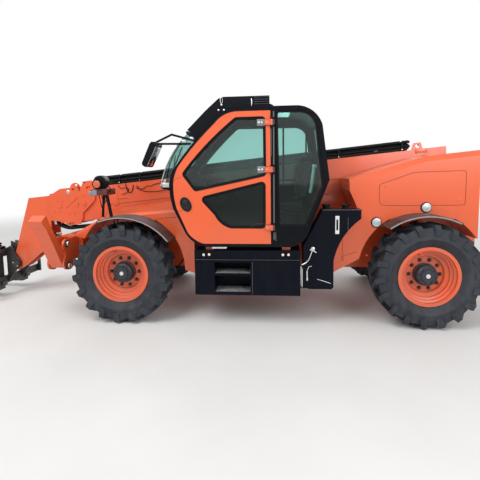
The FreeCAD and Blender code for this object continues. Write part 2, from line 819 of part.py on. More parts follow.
def make_panels():
    """Steel bodywork on both sides: front shoulders and rear side covers."""
    side = S.panel_side
    inner = plate_half + S.plate_wall
    # Columns: place along the machine, half width, lower edge, outer edge, inner edge.
    stations = (
        (-S.nose_front, S.nose_side, S.nose_low, S.nose_edge, S.nose_top),
        (-S.brow_x, side, S.nose_low - 60, S.brow_edge, S.brow_top),
        (-S.shoulder_end_x, side, S.chassis_low + 60, S.shoulder_end_edge, S.shoulder_end_top),
    )
    wires = []
    for x, half, low, edge, top in stations:
        x, half, low, edge, top = (float(value) for value in (x, half, low, edge, top))
        near = -float(inner)
        ring = [
            Vector(x, near, low), Vector(x, -half, low), Vector(x, -half, edge - 30),
            Vector(x, -half + 40, edge), Vector(x, near, top),
        ]
        wires.append(Part.makePolygon(ring + ring[:1]))
    shoulder = doc.addObject("Part::Feature", "shoulder_block")
    shoulder.Shape = Part.makeLoft(wires, True, True)
    front_arch = arch("front_arch", axle_x["front"])
    front = cut("shoulder_left", shoulder, front_arch)
    cover = pad("cover_block", "XZ", [
        (S.cover_toe_x, S.cover_toe_low), (S.cover_sill_x, S.cover_sill_z),
        (S.chassis_rear, S.cover_sill_z), (S.chassis_rear, S.cover_rear_top),
        (S.cover_knee_x, S.cover_knee_top), (S.cover_front, S.cover_front_top),
        (S.cover_front, S.cover_neck_z), (S.cover_chin_x, S.cover_chin_top),
        (S.cover_toe_x, S.cover_chin_top - 60),
    ], -side, -inner)
    bevels = []
    for index, (x0, z0, x1, z1) in enumerate((
            (S.cover_front, S.cover_front_top, S.cover_knee_x, S.cover_knee_top),
            (S.cover_knee_x, S.cover_knee_top, S.chassis_rear, S.cover_rear_top))):
        wires = []
        for x, z in ((float(x0) - 1, float(z0)), (float(x1) + 1, float(z1))):
            y = -float(side)
            corners = [
                Vector(x, y - 1, z - float(S.cover_bevel_down)), Vector(x, y - 1, z + 5),
                Vector(x, y + float(S.cover_bevel_in), z + 5),
            ]
            wires.append(Part.makePolygon(corners + corners[:1]))
        wedge = doc.addObject("Part::Feature", "cover_bevel_%d" % index)
        wedge.Shape = Part.makeLoft(wires, True, True)
        bevels.append(wedge)
    rear_arch = arch("rear_arch", axle_x["rear"])
    well = box("rear_well", axle_x["rear"], S.chassis_rear + 10, -side - 10, -S.arch_inner,
               S.cover_sill_z - 200, S.tyre_radius + 380)
    rear = cut("cover_left", cover, rear_arch, well, *bevels)
    cab_space = pad("cab_space", "XZ", cab_outline(-S.cab_clearance), -S.cab_side - 20, -200)
    node("body_panels_left", group("panels_left", cut("shoulder_notched", front, cab_space), rear))
    node("body_panels_right", mirrored("panels_right", group("panels_pair", front, rear)))


def make_mudguards():
    outer = S.mudguard_radius + S.mudguard_wall
    guards = []
    for end, low, high in (("front", 37, 112), ("rear", 62, 126)):
        ring = turned("guard_ring_" + end, [
            (-S.mudguard_edge, S.mudguard_radius), (-S.mudguard_edge, outer),
            (-S.panel_side, outer), (-S.panel_side, S.mudguard_radius),
        ])
        wedge = pad("guard_wedge_" + end, "XZ", [
            (0, 0), (1400 * math.cos(math.radians(low)), 1400 * math.sin(math.radians(low))),
            (60, 1500), (1400 * math.cos(math.radians(high)), 1400 * math.sin(math.radians(high))),
        ], -S.mudguard_edge - 40, -S.panel_side + 40)
        guard = common("guard_" + end, ring, wedge)
        shift = S.mudguard_shift if end == "front" else -S.mudguard_shift
        place(guard, axle_x[end] + shift, 0, S.mudguard_z)
        guards.append(guard)
    left = group("guards_left", *guards)
    node("mudguards_left", left)
    node("mudguards_right", mirrored("guards_right", left), placed=False)


def make_stabilizers():
    """Two cross plates with S-shaped ends, a box between them and the pins of the legs."""
    front = -S.outrigger_front
    rear = -S.outrigger_rear
    wall = S.outrigger_wall
    tip = -S.outrigger_tip
    top = S.outrigger_top_z
    bulge = S.outrigger_bulge
    wing = [
        (as_size(0), top), (tip, top, bulge, -1), (tip - 18, top - 160, S.outrigger_waist, 1),
        (tip - 26, top - 225, bulge, -1), (tip - 22, top - 376), (tip + 49, top - 392, S.outrigger_hip, -1),
        (tip + 205, top - 291), (-plate_half - 60, top - 312), (as_size(0), top - 312),
    ]
    plates = []
    for name, low in (("face", front), ("back", rear - wall)):
        left = pad("outrigger_%s_left" % name, "YZ", wing, low, low + wall)
        plates += [left, mirrored("outrigger_%s_right" % name, left)]
    cover = box("outrigger_cover", front + wall - 1, rear - wall + 1, -S.leg_pin_y + 240,
                S.leg_pin_y - 240, top - 22, top)
    core = box("outrigger_core", front + wall - 1, rear - wall + 1, -plate_half, plate_half,
               top - 312, top)
    neck = box("outrigger_neck", rear, -S.chassis_front, -plate_half - S.plate_wall,
               plate_half + S.plate_wall, S.leg_pin_z, S.leg_lock_z - 10)
    side_plates = [
        box("outrigger_side_%s" % side, rear - 1, -S.chassis_front - 2, *span, top - 285, top - 15)
        for side, span in (("left", (as_size(-600), as_size(-578))), ("right", (as_size(578), as_size(600))))
    ]
    pins = []
    for side, sign in (("left", -1), ("right", 1)):
        pins.append(rod("leg_pin_" + side, "x", S.leg_pin_radius, front - 18, rear + 22,
                        sign * S.leg_pin_y, S.leg_pin_z))
        pins.append(rod("lock_pin_" + side, "x", S.leg_pin_radius * 0.9, rear - wall, rear + 22,
                        sign * S.leg_pin_y, S.leg_lock_z))
    whole = fuse("outrigger_whole", cover, core, neck, *(plates + side_plates + pins))
    node("stabilizer_frame", whole)


def make_legs():
    """The stabilizer legs: channels that swing on the box's outer pins, raised as they park."""
    gap = 7
    x0 = -S.outrigger_front + S.outrigger_wall + gap
    x1 = -S.outrigger_rear - S.outrigger_wall - gap
    reach = S.leg_length
    half_leg = S.leg_width / 2
    leg = pad("leg_outline", "YZ", [
        (-half_leg + 4, half_leg * 0.3), (-half_leg + 4, reach - 60), (-half_leg, reach - 50),
        (-half_leg, reach + 40), (half_leg - 8, reach + 40), (half_leg - 8, reach - 50),
        (half_leg - 26, reach - 60), (half_leg - 6, half_leg * 0.3, half_leg, 1),
    ], x0, x1)
    bore = rod("leg_bore", "x", S.leg_pin_radius + S.pad_clearance, -S.outrigger_front,
               -S.outrigger_rear, 0, 0)
    right = cut("leg_bored", leg, bore)
    right.Placement = FreeCAD.Placement(Vector(), FreeCAD.Rotation(X_AXIS, 1))
    bind(right, "Placement.Rotation.Angle", S.leg_raised - 90)
    for letter, value in zip("xyz", (mid, S.leg_pin_y, S.leg_pin_z)):
        bind(right, "Placement.Base." + letter, value)
    node("stabilizer_leg_right", right, placed=False)
    node("stabilizer_leg_left", mirrored("leg_left", right), placed=False)


def boom_node(label, thing):
    return node(label, thing, mid + S.boom_pivot_x, 0, S.boom_pivot_z, -S.boom_slope)


def tube(name, start, end, width, height, wall):
    """A square boom section, from start to end forward of the pivot."""
    outer = box(name + "_outer", -end, -start, -width / 2, width / 2, -height / 2, height / 2)
    inner = box(name + "_inner", -end - 5, -start + 5, -width / 2 + wall, width / 2 - wall,
                -height / 2 + wall, height / 2 - wall)
    return cut(name, outer, inner)


def collar_pads(name, x0, x1, width, height, depth):
    """Four slide pads on the inside of a section's mouth."""
    reach = depth - S.pad_clearance
    half = width / 2
    rise = height / 2
    return [
        box(name + "_top", x0, x1, -half + 50, half - 50, rise - reach, rise + 2),
        box(name + "_low", x0, x1, -half + 50, half - 50, -rise - 2, -rise + reach),
        box(name + "_left", x0, x1, -half - 2, -half + reach, -rise + 60, rise - 60),
        box(name + "_right", x0, x1, half - reach, half + 2, -rise + 60, rise - 60),
    ]


def make_boom():
    width = S.boom_width
    height = S.boom_height
    reach = S.boom_reach
    shell = tube("boom_shell", -S.boom_tail, reach, width, height, S.boom_wall)
    grow = S.collar_wall
    brim = height / 2 + grow
    hem = brim + 12
    collar_outline = [
        (-reach - S.collar_lead, as_size(-80)), (-reach - S.collar_lead + 20, as_size(180)),
        (-reach + 75, brim), (-reach + 228, brim, S.collar_ear_radius, 1), (-reach + 380, brim),
        (-reach + 400, brim), (-reach + 415, brim + 66), (-reach + 560, brim + 66),
        (-reach + 593, brim - 83), (-reach + 555, as_size(38)), (-reach + 360, as_size(-115)),
        (-reach + 351, as_size(-184)), (-reach + 298, -hem), (-reach + 173, -hem),
        (-reach - 62, as_size(-173)),
    ]
    slots = [
        box("collar_slot_%d" % index, -reach + along, -reach + along + long, -width / 2 - grow - 10,
            -width / 2 - 5, up, up + tall)
        for index, (along, up, long, tall) in enumerate((
            (250, 215, 42, 27), (135, -252, 78, 20), (405, 292, 66, 20), (462, 216, 62, 30), (352, 196, 20, 56)))
    ]
    bosses = []
    for size, depth, seats in (
            (S.pad_boss_radius, 8, ((38, 20), (289, 15), (403, 16))),
            (S.pad_bolt_radius, 6, ((6, 88), (86, 88), (-62, -59), (17, -58), (158, -106), (237, -105),
                                    (408, 127), (485, 128), (187, 198)))):
        for index, (along, up) in enumerate(seats):
            bosses.append(rod("collar_boss_%d_%d" % (depth, index), "y", size, -width / 2 - grow - depth,
                              -width / 2 - grow + 1, -reach + along, up))
    lug_pin = rod("collar_ear_pin", "y", 24, -width / 2 - grow - 18, -width / 2 - grow + 1,
                  -reach + 342, brim + 26)
    left_plate = fuse("collar_left", cut("collar_left_slotted", pad(
        "collar_left_plate", "XZ", collar_outline, -width / 2 - grow, -width / 2 + 1), *slots),
        lug_pin, *bosses)
    right_plate = mirrored("collar_right", left_plate)
    bands = [
        box("collar_top", -reach + 60, -reach + 330, -width / 2, width / 2, height / 2 - 1,
            height / 2 + grow),
        box("collar_low", -reach + 70, -reach + 330, -width / 2, width / 2, -height / 2 - grow,
            -height / 2 + 1),
    ]
    pads = collar_pads("mouth_pad", -reach, -reach + 120, width - S.boom_wall * 2,
                       height - S.boom_wall * 2, S.section_gap)
    eye_x = -S.lift_eye_along
    eye_z = -S.lift_eye_drop
    inner = S.lift_rod_radius + 6
    ears = []
    for name, low, high in (("a", inner, inner + 28), ("b", -inner - 28, -inner)):
        ears.append(pad("boom_ear_" + name, "XZ", [
            (eye_x - 190, -height / 2 + 1), (eye_x - 66, eye_z + 10),
            (eye_x - 55, eye_z - 40, S.lift_eye_radius + 5, -1), (eye_x + 55, eye_z - 40),
            (eye_x + 66, eye_z + 10), (eye_x + 190, -height / 2 + 1),
        ], low, high))
        ears.append(rod("boom_ear_pin_" + name, "y", S.lift_pin_radius,
                        *((high, high + 24) if name == "a" else (low - 24, low)), eye_x, eye_z))
    lug = pad("boom_lug", "XZ", [
        (-170, height / 2), (-150, height / 2 + 90), (-60, height / 2 + 90), (-40, height / 2),
    ], -30, 30)
    hole = rod("boom_lug_hole", "y", 26, -40, 40, -105, height / 2 + 48)
    boom_node("lifting_lug", cut("boom_lug_bored", lug, hole))
    bore = rod("boom_pin_bore", "y", S.boom_pin_radius + S.pad_clearance, -width, width, 0, 0)
    web = box("tail_web", -120, 120, -width / 2 + 1, width / 2 - 1, -height / 2 + 1, height / 2 - 1)
    solid = fuse("boom_outer_solid", shell, left_plate, right_plate, web, *(bands + pads + ears))
    boom_node("boom_outer", cut("boom_outer_bored", solid, bore))
    pipes = []
    for index, (y, up) in enumerate(((S.pipe_y + 20, 1), (S.pipe_y - 56, 1))):
        pipes.append(rod("pipe_%d" % index, "x", S.pipe_radius, -reach + 700, as_size(-260),
                         -y, height / 2 + S.pipe_radius + 18))
    clips = []
    for index in range(5):
        x = -reach + 800 + index * 900
        clips.append(box("pipe_clip_%d" % index, x, x + 50, -S.pipe_y - 60, -S.pipe_y + 100,
                         height / 2, height / 2 + S.pipe_radius * 1.2 + 18))
    boom_node("boom_pipes", fuse("pipes_whole", *(pipes + clips)))

    step = S.boom_wall * 2 + S.section_gap * 2
    mid_width = width - step
    mid_height = height - step
    mid_end = reach + S.mid_stick_out
    mid_start = as_size(420)
    section = tube("mid_shell", mid_start, mid_end, mid_width, mid_height, S.section_wall)
    step_in = S.section_wall * 2 + S.section_gap * 2
    inner_width = mid_width - step_in
    inner_height = mid_height - step_in
    mid_pads = collar_pads("mid_pad", -mid_end, -mid_end + 110, mid_width - S.section_wall * 2,
                           mid_height - S.section_wall * 2, S.section_gap)
    tail_pads = heel_pads("mid_heel", -mid_start - 120, -mid_start, mid_width, mid_height)
    boom_node("boom_mid", fuse("boom_mid_whole", section, *(mid_pads + tail_pads)))

    inner_start = as_size(560)
    inner_end = mid_end + 40
    core = tube("inner_shell", inner_start, inner_end, inner_width, inner_height, S.section_wall)
    inner_pads = heel_pads("inner_heel", -inner_start - 120, -inner_start, inner_width, inner_height)
    nose_x = -S.head_reach
    nose_z = -S.head_drop
    cheek = [
        (-inner_end + 40, inner_height / 2 - 1), (-inner_end - 300, inner_height / 2 - 1),
        (nose_x - 45, nose_z + 90), (nose_x - 98, nose_z + 12), (nose_x - 84, nose_z - 52),
        (nose_x - 20, nose_z - 96), (nose_x + 60, nose_z - 74), (-inner_end - 60, -inner_height / 2 - 330),
        (-inner_end - 20, -inner_height / 2), (-inner_end + 40, -inner_height / 2 + 1),
    ]
    cheeks = [
        pad("cheek_left", "XZ", cheek, -S.head_half, -S.head_half + S.head_wall),
        pad("cheek_right", "XZ", cheek, S.head_half - S.head_wall, S.head_half),
    ]
    cap = box("head_cap", -inner_end - 300, -inner_end + 1, -S.head_half + 1, S.head_half - 1,
              inner_height / 2 - 24, inner_height / 2 - 1)
    head_pin = rod("head_pin", "y", S.head_pin_radius, -S.head_half - 60, S.head_half + 60,
                   nose_x, nose_z)
    base_pin = rod("tilt_base_pin", "y", S.tilt_pin_radius, -S.head_half - 12, S.head_half + 12,
                   nose_x + S.tilt_base_back, nose_z + S.tilt_base_up)
    boom_node("boom_inner", fuse("boom_inner_whole", core, cap, head_pin, base_pin,
                                 *(inner_pads + cheeks)))


def heel_pads(name, x0, x1, width, height):
    """Slide pads on the outside of a section's rear end."""
    reach = S.section_gap - S.pad_clearance
    half = width / 2
    rise = height / 2
    return [
        box(name + "_top", x0, x1, -half + 50, half - 50, rise - 2, rise + reach),
        box(name + "_low", x0, x1, -half + 50, half - 50, -rise - reach, -rise + 2),
        box(name + "_left", x0, x1, -half - reach, -half + 2, -rise + 60, rise - 60),
        box(name + "_right", x0, x1, half - 2, half + reach, -rise + 60, rise - 60),
    ]


def make_carriage():
    """Fork carriage and forks, measured from the head's pin."""
    half = S.carriage_width / 2
    back = -S.carriage_back
    bar = S.carriage_bar_wall
    low = S.fork_floor - head_z + S.fork_wall + 30
    high = low + S.carriage_height
    bars = [
        box("bar_low", back - bar, back, -half, half, low, low + S.carriage_bar_height),
        box("bar_high", back - bar, back, -half, half, high - S.carriage_bar_height, high),
    ]
    plates = []
    for index, y in enumerate((-half + 60, half - 90)):
        plates.append(box("carriage_post_%d" % index, back - 1, back + 40, y, y + 30, low, high))
    ears = []
    inside = S.head_half + 8
    for name, y0, y1 in (("left", -inside - 30, -inside), ("right", inside, inside + 30)):
        ears.append(pad("carriage_ear_" + name, "XZ", [
            (back - 2, low + 6), (back - 2, high - 10), (as_size(-90), S.tilt_eye_up + 40),
            (as_size(56), as_size(40)), (as_size(56), as_size(-40)), (as_size(0), as_size(-66)),
        ], y0, y1))
    bores = rod("carriage_bore", "y", S.head_pin_radius + S.pad_clearance, -half, half, 0, 0)
    spine = box("carriage_spine", back - 1, back + 30, -inside - 30, inside + 30,
                as_size(-60), as_size(70))
    links = []
    for name, y0, y1 in (("left", -S.tilt_eye_width / 2 - 30, -S.tilt_eye_width / 2 - 6),
                         ("right", S.tilt_eye_width / 2 + 6, S.tilt_eye_width / 2 + 30)):
        links.append(pad("tilt_link_" + name, "XZ", [
            (back - 2, S.tilt_eye_up - 70), (back - 2, S.tilt_eye_up + 90),
            (-S.tilt_eye_front + 46, S.tilt_eye_up + 40), (-S.tilt_eye_front + 46, S.tilt_eye_up - 44),
        ], y0, y1))
        edge = y0 if name == "left" else y1
        span = (edge - 16, edge) if name == "left" else (edge, edge + 16)
        links.append(rod("tilt_eye_pin_" + name, "y", S.tilt_pin_radius, *span,
                         -S.tilt_eye_front, S.tilt_eye_up))
    mount = box("tilt_mount", back - 1, back + 24, -S.tilt_eye_width / 2 - 30,
                S.tilt_eye_width / 2 + 30, S.tilt_eye_up - 70, high - 20)
    solid = fuse("carriage_solid", spine, mount, *(bars + plates + ears + links))
    node("carriage", cut("carriage_bored", solid, bores), mid + head_x, 0, head_z)
    tines = []
    heel = back - bar
    floor = S.fork_floor - head_z
    for name, y in (("left", -S.fork_spread / 2), ("right", S.fork_spread / 2)):
        tines.append(pad("fork_" + name, "XZ", [
            (heel, floor), (heel, floor + S.fork_shank), (heel - S.fork_wall, floor + S.fork_shank),
            (heel - S.fork_wall, floor + S.fork_wall),
            (heel - S.fork_wall - S.fork_length, floor + S.fork_wall),
            (heel - S.fork_wall - S.fork_length, floor + S.fork_wall - 12),
            (heel - S.fork_wall - S.fork_length * 0.4, floor),
        ], y - S.fork_width / 2, y + S.fork_width / 2))
    node("forks", group("forks_pair", *tines), mid + head_x, 0, head_z)


def cylinder_pair(prefix, base_x, base_z, eye_x, eye_z, barrel_radius, rod_radius, pin_radius,
                  eye_radius, eye_width, shorter):
    """A hydraulic cylinder between two pins: a bored barrel, and its rod with an eye."""
    rise = eye_z - base_z
    run = eye_x - base_x
    length = root(rise * rise + run * run)
    pitch = heading(-rise, run)
    bore = barrel_radius - 14
    lead = length - shorter - eye_radius - 30
    deep = eye_radius + 34
    eye = rod(prefix + "_barrel_eye", "y", eye_radius, -eye_width / 2, eye_width / 2, 0, 0)
    neck = rod(prefix + "_neck", "x", eye_width / 2 - 4, 5, eye_radius + 20, 0, 0)
    shell = rod(prefix + "_barrel_shell", "x", barrel_radius, eye_radius + 14, lead, 0, 0)
    gland = rod(prefix + "_gland", "x", barrel_radius + 8, lead - 60, lead, 0, 0)
    hollow = rod(prefix + "_hollow", "x", bore, deep, lead - 30, 0, 0)
    mouth = rod(prefix + "_mouth", "x", rod_radius + 0.5, lead - 50, lead + 10, 0, 0)
    pinhole = rod(prefix + "_pinhole", "y", pin_radius + 0.3, -eye_width, eye_width, 0, 0)
    barrel = cut(prefix + "_barrel", fuse(prefix + "_barrel_solid", eye, neck, shell, gland),
                 hollow, mouth, pinhole)
    node(prefix + "_barrel", barrel, mid + base_x, 0, base_z, pitch)
    start = deep + shorter + 4
    stem = rod(prefix + "_stem", "x", rod_radius, start, length - eye_radius * 0.5, 0, 0)
    piston = rod(prefix + "_piston", "x", bore - 0.3, start, start + 30, 0, 0)
    tip = rod(prefix + "_rod_eye", "y", eye_radius, -eye_width / 2, eye_width / 2, length, 0)
    tip_hole = rod(prefix + "_rod_pinhole", "y", pin_radius + 1, -eye_width, eye_width, length, 0)
    plunger = cut(prefix + "_rod_bored", fuse(prefix + "_rod_solid", stem, piston, tip), tip_hole)
    node(prefix + "_rod", plunger, mid + base_x, 0, base_z, pitch)


def make_cylinders():
    cylinder_pair("lift", S.lift_base_x, S.lift_base_z,
                  boom_x(S.lift_eye_along, -S.lift_eye_drop), boom_z(S.lift_eye_along, -S.lift_eye_drop),
                  S.lift_barrel_radius, S.lift_rod_radius, S.lift_pin_radius,
                  S.lift_eye_radius, S.lift_eye_width, as_size(0))
    base_along = S.head_reach - S.tilt_base_back
    base_up = S.tilt_base_up - S.head_drop
    cylinder_pair("tilt", boom_x(base_along, base_up), boom_z(base_along, base_up),
                  head_x - S.tilt_eye_front, head_z + S.tilt_eye_up,
                  S.tilt_barrel_radius, S.tilt_rod_radius, S.tilt_pin_radius,
                  S.tilt_eye_radius, S.tilt_eye_width, as_size(62))


def cab_outline(inset):
    """The cab's side view, set in by a wall: a rounded nose, a long front slope, a flat top."""
    floor = S.cab_floor_z + inset
    top = S.cab_top_z - inset
    return [
        (S.cab_toe_x + inset * 0.3, floor, S.cab_toe_curve - inset, 1),
        (S.cab_shin_x + inset * 0.85, S.cab_floor_z + 162 + inset * 0.5),
        (S.cab_knee_x + inset * 0.95, S.cab_bulge_z - 250 + inset * 0.2, S.cab_belly_curve - inset, 1),
        (-S.cab_bulge_x + inset, S.cab_bulge_z - 10, S.cab_chest_curve - inset, 1),
        (S.cab_brow_x + inset * 0.9, S.cab_bulge_z + 180 - inset * 0.4, S.cab_slope_curve - inset, 1),
        (S.cab_crown_x + inset * 0.6, S.cab_top_z - 53 - inset * 0.85, S.cab_crown_curve - inset, 1),
        (S.cab_crown_x + 141 + inset * 0.2, top),
        (S.cab_nape_x - inset * 0.15, top, S.cab_nape_curve - inset, 1),
        (S.cab_nape_x + 276 - inset * 0.98, S.cab_top_z - 212 - inset * 0.2),
        (S.cab_rear_x - inset, S.cab_rear_z),
        (S.cab_heel_x - inset * 0.9, S.cab_floor_z + 151 + inset * 0.35, S.cab_heel_curve - inset, 1),
        (S.cab_heel_x - 188 - inset * 0.3, floor),
    ]


def make_cab():
    left = -S.cab_side
    right = left + S.cab_width
    wall = S.cab_wall
    shell = pad("cab_block", "XZ", cab_outline(as_size(0)), left, right)
    room = pad("cab_room", "XZ", cab_outline(S.cab_skin), left + wall, right - wall)
    door_hole = pad("cab_doorway", "XZ", door_outline(-S.door_gap), left - 20,
                    left + wall + 20)
    quarter = window("cab_quarter_hole", quarter_outline(), (0, 3, 4, 5), left - 20, left + wall + 20)
    far = window("cab_far_hole", far_outline(), (0, 1, 5), right - wall - 20, right + 20)
    pane_y = (left + wall + 30, right - wall - 30)
    beyond = -S.cab_bulge_x - 80
    lower_screen = pad("cab_low_screen_hole", "XZ", [
        (beyond, S.cab_bulge_z - 330), (beyond, S.cab_bulge_z - 55),
        (S.cab_brow_x + 62, S.cab_bulge_z - 55), (S.cab_brow_x + 72, S.cab_bulge_z - 330),
    ], *pane_y)
    screen = pad("cab_screen_hole", "XZ", [
        (beyond, S.cab_bulge_z), (beyond, S.cab_top_z - 371), (S.cab_brow_x + 327, S.cab_top_z - 371),
        (S.cab_brow_x + 137, S.cab_bulge_z + 230), (S.cab_brow_x + 77, S.cab_bulge_z),
    ], *pane_y)
    back = box("cab_back_hole", as_size(440), S.cab_rear_x + 40, left + wall + 40, right - wall - 40,
               S.cab_rear_z - 320, S.cab_top_z - 190)
    hatch = box("cab_hatch_hole", as_size(-330), as_size(240), left + wall + 50, right - wall - 50,
                S.cab_top_z - 120, S.cab_top_z + 20)
    body = cut("cab_open", shell, room, door_hole, quarter, far, lower_screen, screen, back, hatch)
    lugs = []
    for index, z in enumerate(hinge_heights()):
        x, y = S.pillar_x + 3, left - S.hinge_radius - 2
        for kind, low in (("low", z - 50), ("high", z + 31)):
            lugs.append(rod("hinge_lug_%s_%d" % (kind, index), "z", S.hinge_radius, low, low + 19, x, y))
            lugs.append(box("hinge_foot_%s_%d" % (kind, index), x, x + 46, y - 6, left + 1,
                            low, low + 19))
        lugs.append(rod("hinge_pin_%d" % index, "z", S.hinge_pin_radius, z - 50, z + 50, x, y))
    node("cab_frame", fuse("cab_whole", body, *lugs))
    door = pad("door_skin", "XZ", door_outline(as_size(0)), left, left + S.door_wall)
    upper = window("door_upper_hole", upper_outline(), (0, 1, 2, 3, 4), left - 20,
                   left + S.door_wall + 20)
    lower = window("door_lower_hole", lower_outline(), (0, 1, 2), left - 20, left + S.door_wall + 20)
    straps = []
    bores = []
    for index, z in enumerate(hinge_heights()):
        x, y = S.pillar_x + 3, left - S.hinge_radius - 2
        straps.append(rod("door_hinge_%d" % index, "z", S.hinge_radius, z - 30, z + 30, x, y))
        straps.append(box("door_strap_%d" % index, S.pillar_x - 70, S.pillar_x - 8, y - 6,
                          left + 1, z - 30, z + 30))
        straps.append(box("door_strap_end_%d" % index, S.pillar_x - 9, x, y - 6,
                          left - 2, z - 30, z + 30))
        bores.append(rod("door_hinge_bore_%d" % index, "z", S.hinge_pin_radius + S.pad_clearance,
                         z - 40, z + 40, x, y))
    handle = rod("door_latch", "y", 46, left - 12, left, as_size(-935), S.cab_bulge_z - 190)
    panel = fuse("door_whole", cut("door_open", door, upper, lower), *straps)
    node("door_panel", cut("door_bored", panel, *bores))
    node("door_handle", handle)
    panes = [
        window("pane_upper", upper_outline(), (0, 1, 2, 3, 4), left + 14, left + 14 + S.glass_wall),
        window("pane_lower", lower_outline(), (0, 1, 2), left + 14, left + 14 + S.glass_wall),
    ]
    node("door_glass", group("door_panes", *panes))
    glass = [
        window("pane_quarter", quarter_outline(), (0, 3, 4, 5), left + 14, left + 14 + S.glass_wall),
        window("pane_far", far_outline(), (0, 1, 5), right - 14 - S.glass_wall, right - 14),
    ]
    band = cut("screen_band", pad("screen_outer", "XZ", cab_outline(as_size(10)),
                                  left + wall + 30, right - wall - 30),
               pad("screen_inner", "XZ", cab_outline(10 + S.glass_wall),
                   left + wall + 20, right - wall - 20))
    front_glass = common("pane_low_screen", band, lower_screen)
    rear_glass = common("pane_back", band, back)
    top_glass = common("pane_hatch", band, hatch)
    seat = pad("screen_seat", "XZ", cab_outline(-S.pad_clearance), left, right)
    bubble = cut("screen_bubble", pad("screen_shell", "XZ", bubble_outline(as_size(0)),
                                      left + S.screen_side, right - S.screen_side),
                 pad("screen_hollow", "XZ", bubble_outline(S.glass_wall),
                     left + S.screen_side + S.glass_wall, right - S.screen_side - S.glass_wall), seat)
    node("cab_windows", group("cab_panes", front_glass, bubble, rear_glass, top_glass, *glass))
    roof_left = left + S.roof_inset
    roof_right = right - S.roof_inset
    grooves = []
    for index in range(3):
        z = S.cab_top_z + 44 + index * 22
        for side, low, high in (("left", roof_left - 5, roof_left + S.roof_groove),
                                ("right", roof_right - S.roof_groove, roof_right + 5)):
            grooves.append(box("roof_groove_%s_%d" % (side, index), S.roof_rear_x - 160,
                               S.roof_rear_x - 14, low, high, z, z + 10))
    roof = cut("roof_cap", pad("roof_block", "XZ", roof_outline(as_size(0)), roof_left, roof_right),
               pad("roof_seat", "XZ", cab_outline(-S.pad_clearance), left, right), *grooves)
    node("cab_roof", roof)


def window(name, outline, keep, low, high):
    """A window opening or a pane, its corners rounded where the list keeps them."""
    corners = [outline[index][:2] for index in keep]
    return softened(pad(name, "XZ", outline, low, high), S.window_round, corners)


def roof_outline(grow):
    """The roof cap's side view: a flat top, a brow that runs down the slope, a stepped rear."""
    top = S.cab_top_z + S.roof_rise + grow
    return [
        (S.cab_brow_x + 292, S.cab_top_z - 343 - grow), (S.cab_brow_x + 162 - grow, S.cab_top_z - 225),
        (S.cab_brow_x + 234 - grow, S.cab_top_z - 155 + grow), (S.cab_crown_x - 176 - grow, S.cab_top_z - 17 + grow),
        (S.cab_crown_x - 35 - grow, top - 16), (S.cab_crown_x + 21, top), (S.roof_rear_x + grow, top),
        (S.roof_rear_x + grow, S.cab_top_z + 36), (S.roof_rear_x + 42 + grow, S.cab_top_z + 15),
        (S.roof_rear_x + 42 + grow, S.cab_top_z - 46), (S.cab_crown_x + 30, S.cab_top_z - 96),
    ]


def bubble_outline(inset):
    """The windscreen's side view: a curved pane that stands proud of the cab's slope."""
    return [
        (-S.cab_bulge_x - S.screen_reach + inset * 1.1, S.cab_bulge_z - 8 + inset, S.screen_curve - inset, 1),
        (S.cab_brow_x + 157 - inset * 0.3, S.cab_top_z - 263 - inset * 1.25),
        (S.cab_brow_x + 287 + inset * 4, S.cab_top_z - 351 - inset * 4),
        (-S.cab_bulge_x + 2 + inset * 6, S.cab_bulge_z - 40),
    ]


def hinge_heights():
    return S.cab_top_z - 170, S.cab_rear_z + 120, S.cab_floor_z + 220


def door_outline(inset):
    """The door's side view: it follows the cab's nose and slope, square at its hinges."""
    foot = S.door_foot_z + inset
    top = S.cab_top_z - S.door_rim - inset
    back = S.pillar_x - 6 - inset
    return [
        (S.cab_toe_x - 45 + inset * 0.3, foot, S.cab_toe_curve - inset, 1),
        (S.cab_shin_x + 25 + inset * 0.85, S.cab_floor_z + 162 + inset * 0.5),
        (S.cab_knee_x + 35 + inset * 0.95, S.cab_bulge_z - 250 + inset * 0.2, S.cab_belly_curve - inset, 1),
        (-S.cab_bulge_x + S.door_rim + inset, S.cab_bulge_z, S.cab_chest_curve - inset, 1),
        (S.cab_brow_x + 64 + inset * 0.9, S.cab_bulge_z + 235 - inset * 0.4, S.cab_slope_curve - inset, 1),
        (S.cab_crown_x - 78 + inset * 0.65, S.cab_top_z - 162 - inset * 0.8, S.cab_toe_curve - inset, 1),
        (S.cab_crown_x + 170 + inset * 0.2, top),
        (back, top),
        (back, foot),
    ]


def upper_outline():
    return [
        (as_size(-822), S.cab_bulge_z - 59), (as_size(-964), S.cab_bulge_z + 133, S.cab_slope_curve, 1),
        (as_size(-358), S.cab_top_z - 112), (S.pillar_x - 63, S.cab_top_z - 110),
        (S.pillar_x - 60, S.cab_bulge_z + 105),
    ]


def lower_outline():
    return [
        (as_size(-777), S.cab_bulge_z - 131), (S.pillar_x - 68, S.cab_bulge_z + 45),
        (S.pillar_x - 70, S.cab_floor_z + 212), (as_size(-420), S.cab_floor_z + 215, as_size(260), 1),
        (as_size(-600), S.cab_floor_z + 362),
    ]


def quarter_outline():
    return [
        (S.pillar_x + 44, S.cab_top_z - 46), (as_size(340), S.cab_top_z - 48, as_size(200), 1),
        (as_size(520), S.cab_top_z - 196), (as_size(597), S.cab_rear_z - 68),
        (as_size(408), S.cab_floor_z + 230), (S.pillar_x + 72, S.cab_floor_z + 230),
    ]


def far_outline():
    return [
        (as_size(-820), S.cab_bulge_z - 60), (as_size(-975), S.cab_bulge_z + 130, S.cab_slope_curve, 1),
        (as_size(-420), S.cab_top_z - 112), (as_size(340), S.cab_top_z - 112, as_size(200), 1),
        (as_size(500), S.cab_top_z - 250), (as_size(570), S.cab_bulge_z - 20),
    ]


